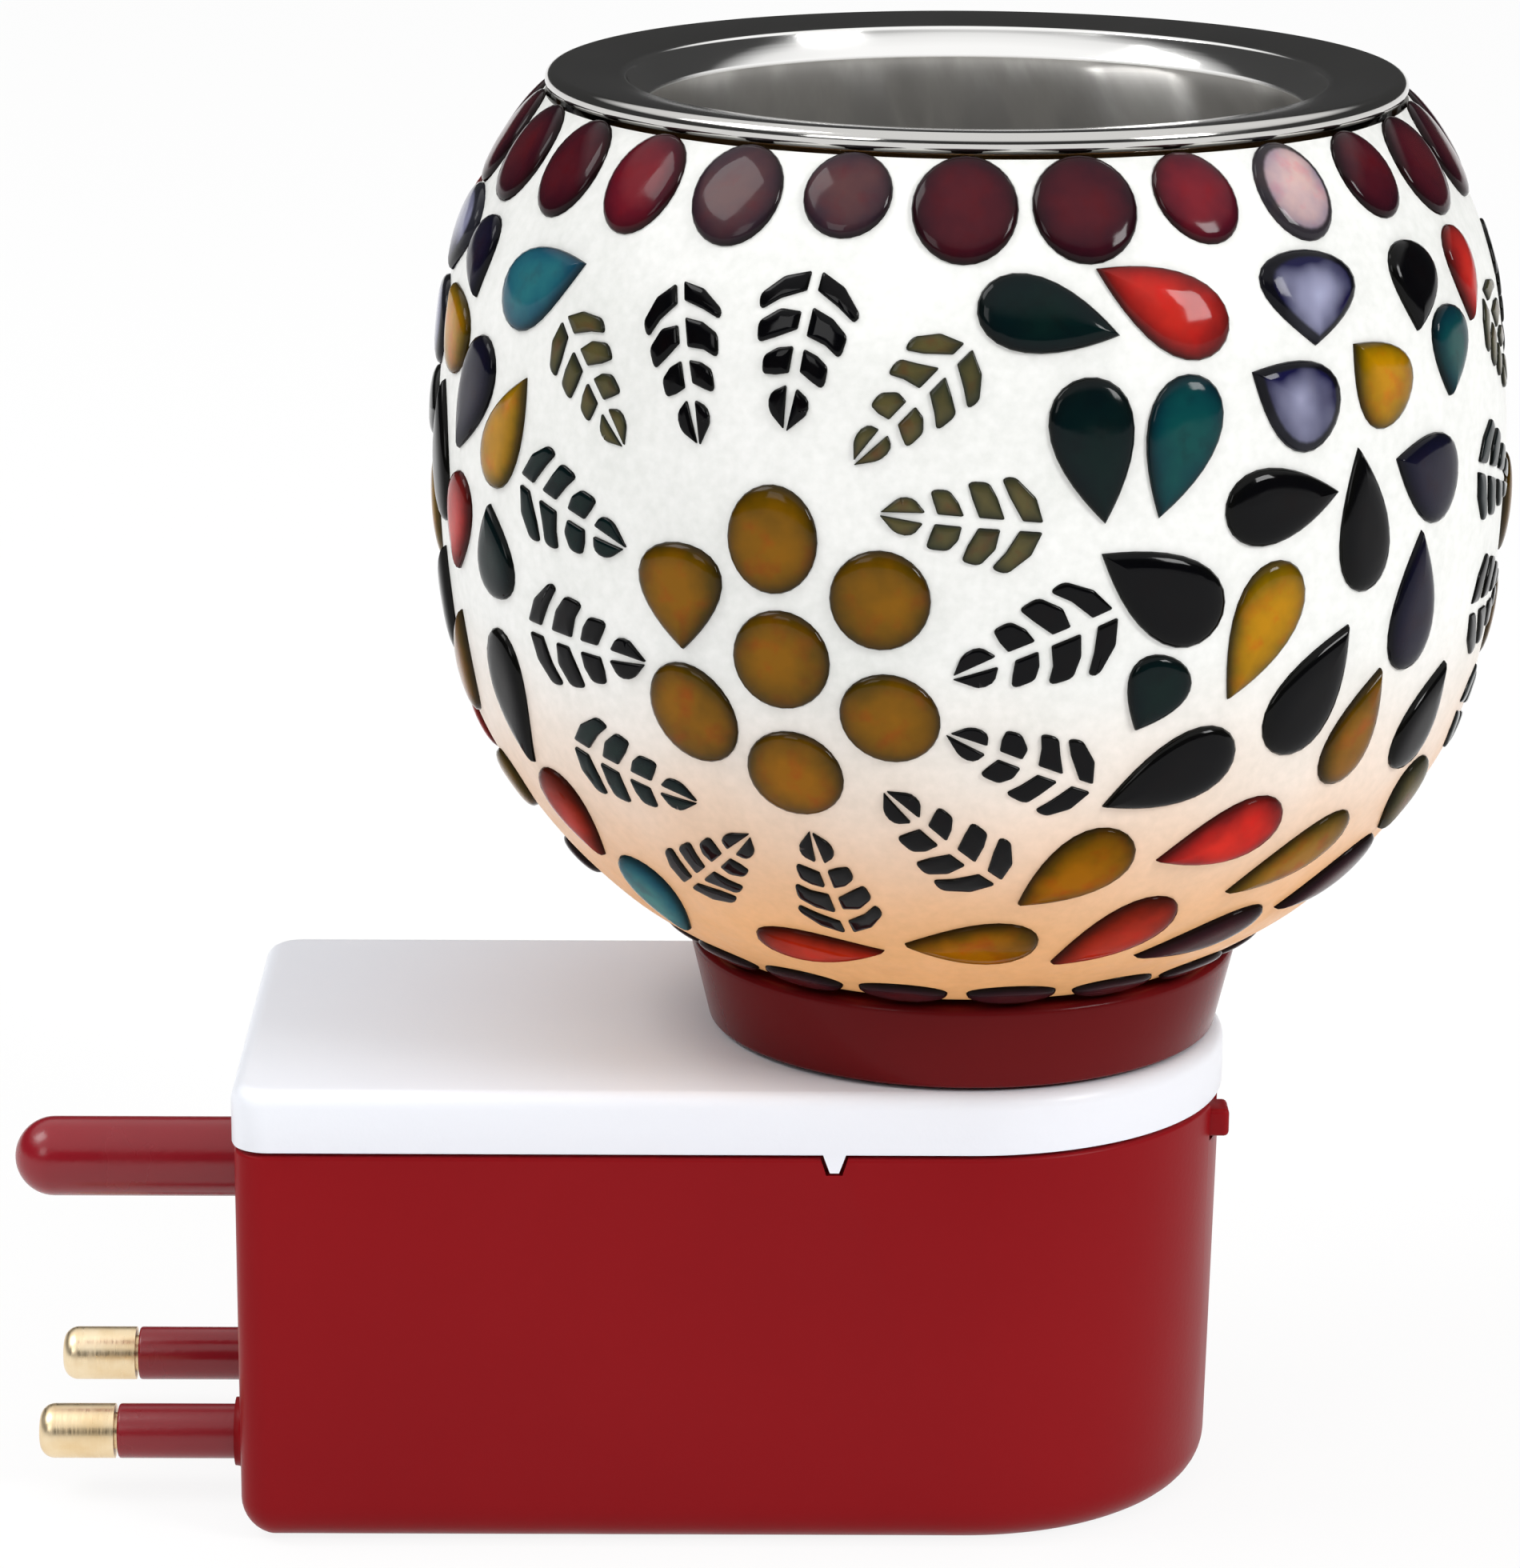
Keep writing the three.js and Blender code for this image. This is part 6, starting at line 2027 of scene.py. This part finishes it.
            # The tint's alpha carries the tile's share of painted reflection.
            tints += [*tile.tint.value, PAINTED_REFLECTION_SHARES.get(tile.tint, 0)]
        mesh = bpy.data.meshes.new(name)
        mesh.from_pydata(places, [], [])
        mesh.attributes.new("facing", "FLOAT_VECTOR", "POINT").data.foreach_set("vector", facings)
        mesh.attributes.new("half_size", "FLOAT_VECTOR", "POINT").data.foreach_set("vector", sizes)
        mesh.attributes.new("tint", "FLOAT_COLOR", "POINT").data.foreach_set("color", tints)
        piece = new_piece(name, mesh)
        inputs = {"Blank": blank, "Material": material, "Form": form}
        NodeSetter(f"set_{name}", bends=True).run(piece, inputs)
        discard([blank])
        settle(piece, material, Body.GLOBE)

    def beside(self, centre: float, bearing: float, reach: float) -> tuple[float, float]:
        """Place on the globe beside the middle of a medallion.

        Args:
            centre: the medallion's azimuth.
            bearing: the way to the place, in degrees up from the right.
            reach: how far it is, in millimetres.

        Returns:
            Azimuth and arc of the place.
        """
        height = self.flower_arc + reach * sine(bearing)
        mean = (self.station(self.flower_arc)[0].x + self.station(height)[0].x) / 2
        return centre + math.degrees(reach * cosine(bearing) * MM / mean), height

    def mouth_row(self) -> list[Tile]:
        """Tiles that stand round the mouth, their tops level.

        Returns:
            The tiles.
        """
        row = []
        for index in range(self.mouth_tiles):
            tint, length, width, turn = ODD_MOUTH_TILES.get(index, MOUTH_TILE)
            azimuth = self.mouth_start + 360 / self.mouth_tiles * index
            height = self.length / MM + self.mouth_overlap - length / 2
            row.append(Tile(tint, azimuth, height, length, width, turn))
        return row

    def foot_row(self) -> list[Tile]:
        """Flat tiles round the foot."""
        places = [self.foot_start + 360 / self.foot_tiles * index for index in range(self.foot_tiles)]
        return [Tile(Tint.PLUM, azimuth, *self.foot_tile) for azimuth in places]

    def petal(self, centre: float, bearing: float, *shape: float) -> Tile:
        """Petal of the flower at an azimuth, by its bearing, length, width and turn."""
        return Tile(Tint.AMBER, *self.beside(centre, bearing, self.petal_ring), *shape)

    def flower(self, centre: float) -> list[Tile]:
        """Eye and round petals of the flower at an azimuth."""
        eye = Tile(Tint.AMBER, centre, self.flower_arc, self.flower_eye, self.flower_eye)
        return [eye, *(self.petal(centre, *row) for row in PETALS)]

    def ferns(self, centre: float) -> list[Tile]:
        """Ferns round a flower, pointing at it.

        Args:
            centre: the flower's azimuth.

        Returns:
            The ferns.
        """
        ring = []
        for tint, across, up, turn, length, width in FERNS:
            middle = Vector((across, up)) + length / 2 * Vector((cosine(turn), sine(turn)))
            bearing = math.degrees(math.atan2(middle.y, middle.x))
            ring.append(Tile(tint, *self.beside(centre, bearing, middle.length), length, width, turn))
        return ring

    def drops(self, centre: float, edge: Sequence[tuple]) -> list[Tile]:
        """Pointed petal of the flower at an azimuth, and the drops to the right of it.

        Args:
            centre: the flower's azimuth.
            edge: rows of the drops that lie beside the next flower.

        Returns:
            The tiles.
        """
        between = centre + 180 / self.medallions
        rest = [Tile(tint, between + azimuth, *shape) for tint, azimuth, *shape in (*DROPS, *edge)]
        return [self.petal(centre, *POINTED_PETAL), *rest]

    def tiles(self) -> None:
        """Lays the rows at mouth and foot, the flowers, the ferns round them and the drops between."""
        spot, rise = self.station(self.length / MM)
        over = tuple(spot + rise * SPARE)
        form = revolve("globe_form", [*self.line, over, *reversed(self.inside(self.grout))], self.sides)
        disc, drop = self.drop_outline(0), self.drop_outline(1)
        self.lay("mouth_row_tiles", self.mouth_row(), self.blank([disc], self.disc_dome), form)
        self.lay("foot_row_tiles", self.foot_row(), self.blank([disc], self.foot_dome), form, dull=True)
        flowers, ferns, drops = [], [], []
        for index in range(self.medallions):
            centre = self.front_medallion + 360 / self.medallions * index
            flowers += self.flower(centre)
            ferns += self.ferns(centre)
            drops += self.drops(centre, LEFT_EDGE if index == self.medallions - 1 else RIGHT_EDGE)
        self.lay("flower_tiles", flowers, self.blank([disc], self.disc_dome), form)
        for kind in range(self.fern_kinds):
            blank = self.blank(self.fern_outlines(random.Random(kind)), self.fern_dome)
            self.lay(f"fern_tiles_{kind + 1}", ferns[kind :: self.fern_kinds], blank, form)
        upper = [tile for tile in drops if tile.arc > self.dull_arc]
        lower = [tile for tile in drops if tile.arc <= self.dull_arc]
        self.lay("drop_tiles", upper, self.blank([drop], self.drop_dome), form)
        self.lay("low_drop_tiles", lower, self.blank([drop], self.drop_dome), form, dull=True)
        discard([form])

    def build(self) -> None:
        """Builds the globe."""
        self.glass_globe()
        self.grout_skin()
        self.tiles()


@dataclass
class CamphorDish:
    """Steel dish with a broad rim, rolled over at its edge, a steep wall and a flat floor."""

    finishes: Finishes
    sheet: float = 0.7 * MM
    floor_radius: float = 28.2 * MM
    wall_radius: float = 30.1 * MM
    wall_lean: float = 1.2 * MM
    fillet: float = 0.5 * MM
    bead: float = 0.9 * MM
    depth: float = 3.1 * MM
    rim_fall: float = 0.6 * MM
    floor_rings: tuple[float, ...] = (0.3, 0.6, 0.9)
    bead_steps: int = 22
    sides: int = 192

    def wall(self, radius: float, floor: float, top: float) -> list[Point2]:
        """One side of the sheet from the floor over its rounded corner to the top of the wall.

        Args:
            radius: the wall's radius at its top.
            floor: height of the floor.
            top: height of the wall's top.

        Returns:
            Radius and height of each point.
        """
        corner = (radius - self.wall_lean, floor, self.fillet)
        line = rounded([(0, floor, 0), corner, (radius, top, 0)], steps=10)
        flat = [(self.floor_radius * share, floor) for share in self.floor_rings]
        return [line[0], *flat, *line[1:]]

    def build(self) -> None:
        """Builds the dish."""
        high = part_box("camphor_dish")[1]
        rim, top = high.y, high.z
        floor = top - self.depth
        under = top - self.sheet
        centre = (rim - self.bead, top - self.bead)
        start = math.pi - math.asin((under - centre[1]) / self.bead)
        bead = arc(centre, self.bead, start, 5 * QUARTER, self.bead_steps)
        half_sheet = self.sheet / 2
        inner_top = top - self.rim_fall
        outside = self.wall(self.wall_radius, floor - self.sheet, inner_top - self.sheet)
        inside = self.wall(self.wall_radius - self.sheet, floor, inner_top - half_sheet)
        bend = (self.wall_radius - half_sheet, inner_top - half_sheet)
        edge = arc(bend, half_sheet, QUARTER, 2 * QUARTER, steps=4)[:-1]
        dish = revolve("dish_pan", [*outside, *bead, *edge, *reversed(inside)], self.sides)
        settle(dish, self.finishes.dish, Body.DISH, ["camphor_dish"])


@dataclass
class InnerFittings:
    """Pieces inside the housing that keep their own solids and only get a finish."""

    finishes: Finishes

    def build(self) -> None:
        """Gives each inner piece its finish."""
        looks = (
            (self.finishes.dark, ("switch_body",)),
            (self.finishes.brass, ("switch_terminal_1", "switch_terminal_2", "lamp_screw_shell")),
            (self.finishes.brass, ("lamp_centre_contact", "holder_terminal_line", "holder_terminal_neutral")),
            (self.finishes.steel, ("holder_terminal_screw_1", "holder_terminal_screw_2")),
            (self.finishes.brown_wire, ("line_lead", "switch_lead")),
            (self.finishes.blue_wire, ("neutral_lead",)),
        )
        for material, nodes in looks:
            for node in nodes:
                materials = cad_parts[node].data.materials
                materials.clear()
                materials.append(material)
                LOG.info("%s keeps its solid", node)


@dataclass
class Studio:
    """Camera at the photograph's view, soft light and a plain pale floor."""

    distance: float = 502.39 * MM
    yaw: float = 0.007
    pitch: float = 0.267
    roll: float = -0.006
    focal_pixels: float = 7217.3
    frame_pixels: float = 1960
    sensor: float = 36
    clip_start: float = 0.01
    target: Point3 = (-17.82 * MM, 0, 62.18 * MM)
    floor_size: float = 12
    floor_gap: float = 0.05 * MM
    floor_colour: Colour = (0.93, 0.93, 0.93)
    sweep_share: float = 0.88
    # Height in the world, as a sine, and brightness there
    sky_stops: tuple[Point2, ...] = ((0.015, 0.5), (0.04, 0.05), (0.46, 0.05), (0.58, 0.85), (0.72, 1))
    # Name, place, side and power in watts
    lamps: tuple[tuple[str, Point3, float, float], ...] = (
        ("key", (0.9, -0.65, 0.7), 0.34, 7.7),
        ("fill", (-0.75, -0.95, 0.6), 0.4, 1.7),
        ("top", (-0.75, -0.1, 0.95), 0.5, 4.8),
    )

    def camera(self) -> None:
        """Puts the camera where the photograph was taken from."""
        level = math.cos(self.pitch)
        ahead = Vector((math.sin(self.yaw) * level, math.cos(self.yaw) * level, -math.sin(self.pitch)))
        right = Vector((math.cos(self.yaw), -math.sin(self.yaw), 0))
        down = ahead.cross(right)
        rolled_right = right * math.cos(self.roll) + down * math.sin(self.roll)
        rolled_up = right * math.sin(self.roll) - down * math.cos(self.roll)
        data = bpy.data.cameras.new("camera")
        data.sensor_width = self.sensor
        data.lens = self.focal_pixels / self.frame_pixels * self.sensor
        data.clip_start = self.clip_start
        camera = bpy.data.objects.new("camera", data)
        turn = Matrix((rolled_right, rolled_up, -ahead)).transposed().to_4x4()
        camera.matrix_world = Matrix.Translation(Vector(self.target) - ahead * self.distance) @ turn
        bpy.context.scene.collection.objects.link(camera)
        bpy.context.scene.camera = camera

    def floor(self) -> None:
        """Pale matt floor just under the part, which the camera and mirrors see as a white sweep."""
        half = self.floor_size / 2
        mesh = bpy.data.meshes.new("floor")
        corners = [(-half, -half), (half, -half), (half, half), (-half, half)]
        mesh.from_pydata([(x, y, -self.floor_gap) for x, y in corners], [], [(0, 1, 2, 3)])
        material = bpy.data.materials.new("floor")
        material.use_nodes = True
        canvas = Canvas(material.node_tree)
        canvas.tree.nodes.clear()
        matt = canvas.out("ShaderNodeBsdfDiffuse", {"Color": (*self.floor_colour, 1)})
        white = canvas.out("ShaderNodeEmission", {"Color": WHITE, "Strength": 1})
        rays = canvas.add("ShaderNodeLightPath").outputs
        seen = rays["Is Camera Ray"]
        for mirrored in ("Is Glossy Ray", "Is Transmission Ray"):
            seen = canvas.sums(Sum.GREATEST, seen, rays[mirrored])
        share = canvas.sums(Sum.MULTIPLY, seen, self.sweep_share)
        mixed = canvas.out("ShaderNodeMixShader", {0: share, 1: matt, 2: white})
        canvas.add("ShaderNodeOutputMaterial", {"Surface": mixed})
        mesh.materials.append(material)
        new_piece("floor", mesh)

    def softbox(self, name: str, place: Point3, size: float, power: float) -> None:
        """Square soft light aimed at the part.

        Args:
            name: the light's name.
            place: where it hangs.
            size: its side.
            power: its power in watts.
        """
        data = bpy.data.lights.new(name, "AREA")
        data.size = size
        data.energy = power
        light = bpy.data.objects.new(name, data)
        aim = Vector(self.target) - Vector(place)
        light.matrix_world = Matrix.Translation(place) @ aim.to_track_quat("-Z", "Y").to_matrix().to_4x4()
        bpy.context.scene.collection.objects.link(light)

    def sky(self) -> None:
        """World of a white sweep low down, a dim room above it and a pale ceiling."""
        world = bpy.data.worlds.new("studio")
        world.use_nodes = True
        canvas = Canvas(world.node_tree)
        height = canvas.height(canvas.out("ShaderNodeTexCoord", output="Generated"))
        ramp = canvas.add("ShaderNodeValToRGB", {0: height})
        stops = ramp.color_ramp.elements
        for end in stops:
            end.color = WHITE
        for position, value in self.sky_stops:
            stops.new(position).color = (value, value, value, 1)
        background = canvas.tree.nodes["Background"]
        canvas.tree.links.new(ramp.outputs[0], background.inputs["Color"])
        bpy.context.scene.world = world

    def build(self) -> None:
        """Sets the scene."""
        bpy.context.scene.view_settings.view_transform = "Standard"
        self.camera()
        self.floor()
        self.sky()
        for lamp in self.lamps:
            self.softbox(*lamp)


def main() -> None:
    """Builds the burner and the scene round it."""
    logging.basicConfig(level=logging.INFO, format="%(message)s")
    Studio().build()
    finishes = Finishes.mix()
    PlugBase(finishes).build()
    LampSeat(finishes).build()
    Lamp(finishes).build()
    MosaicGlobe(finishes).build()
    CamphorDish(finishes).build()
    InnerFittings(finishes).build()


if __name__ == "__main__":
    main()
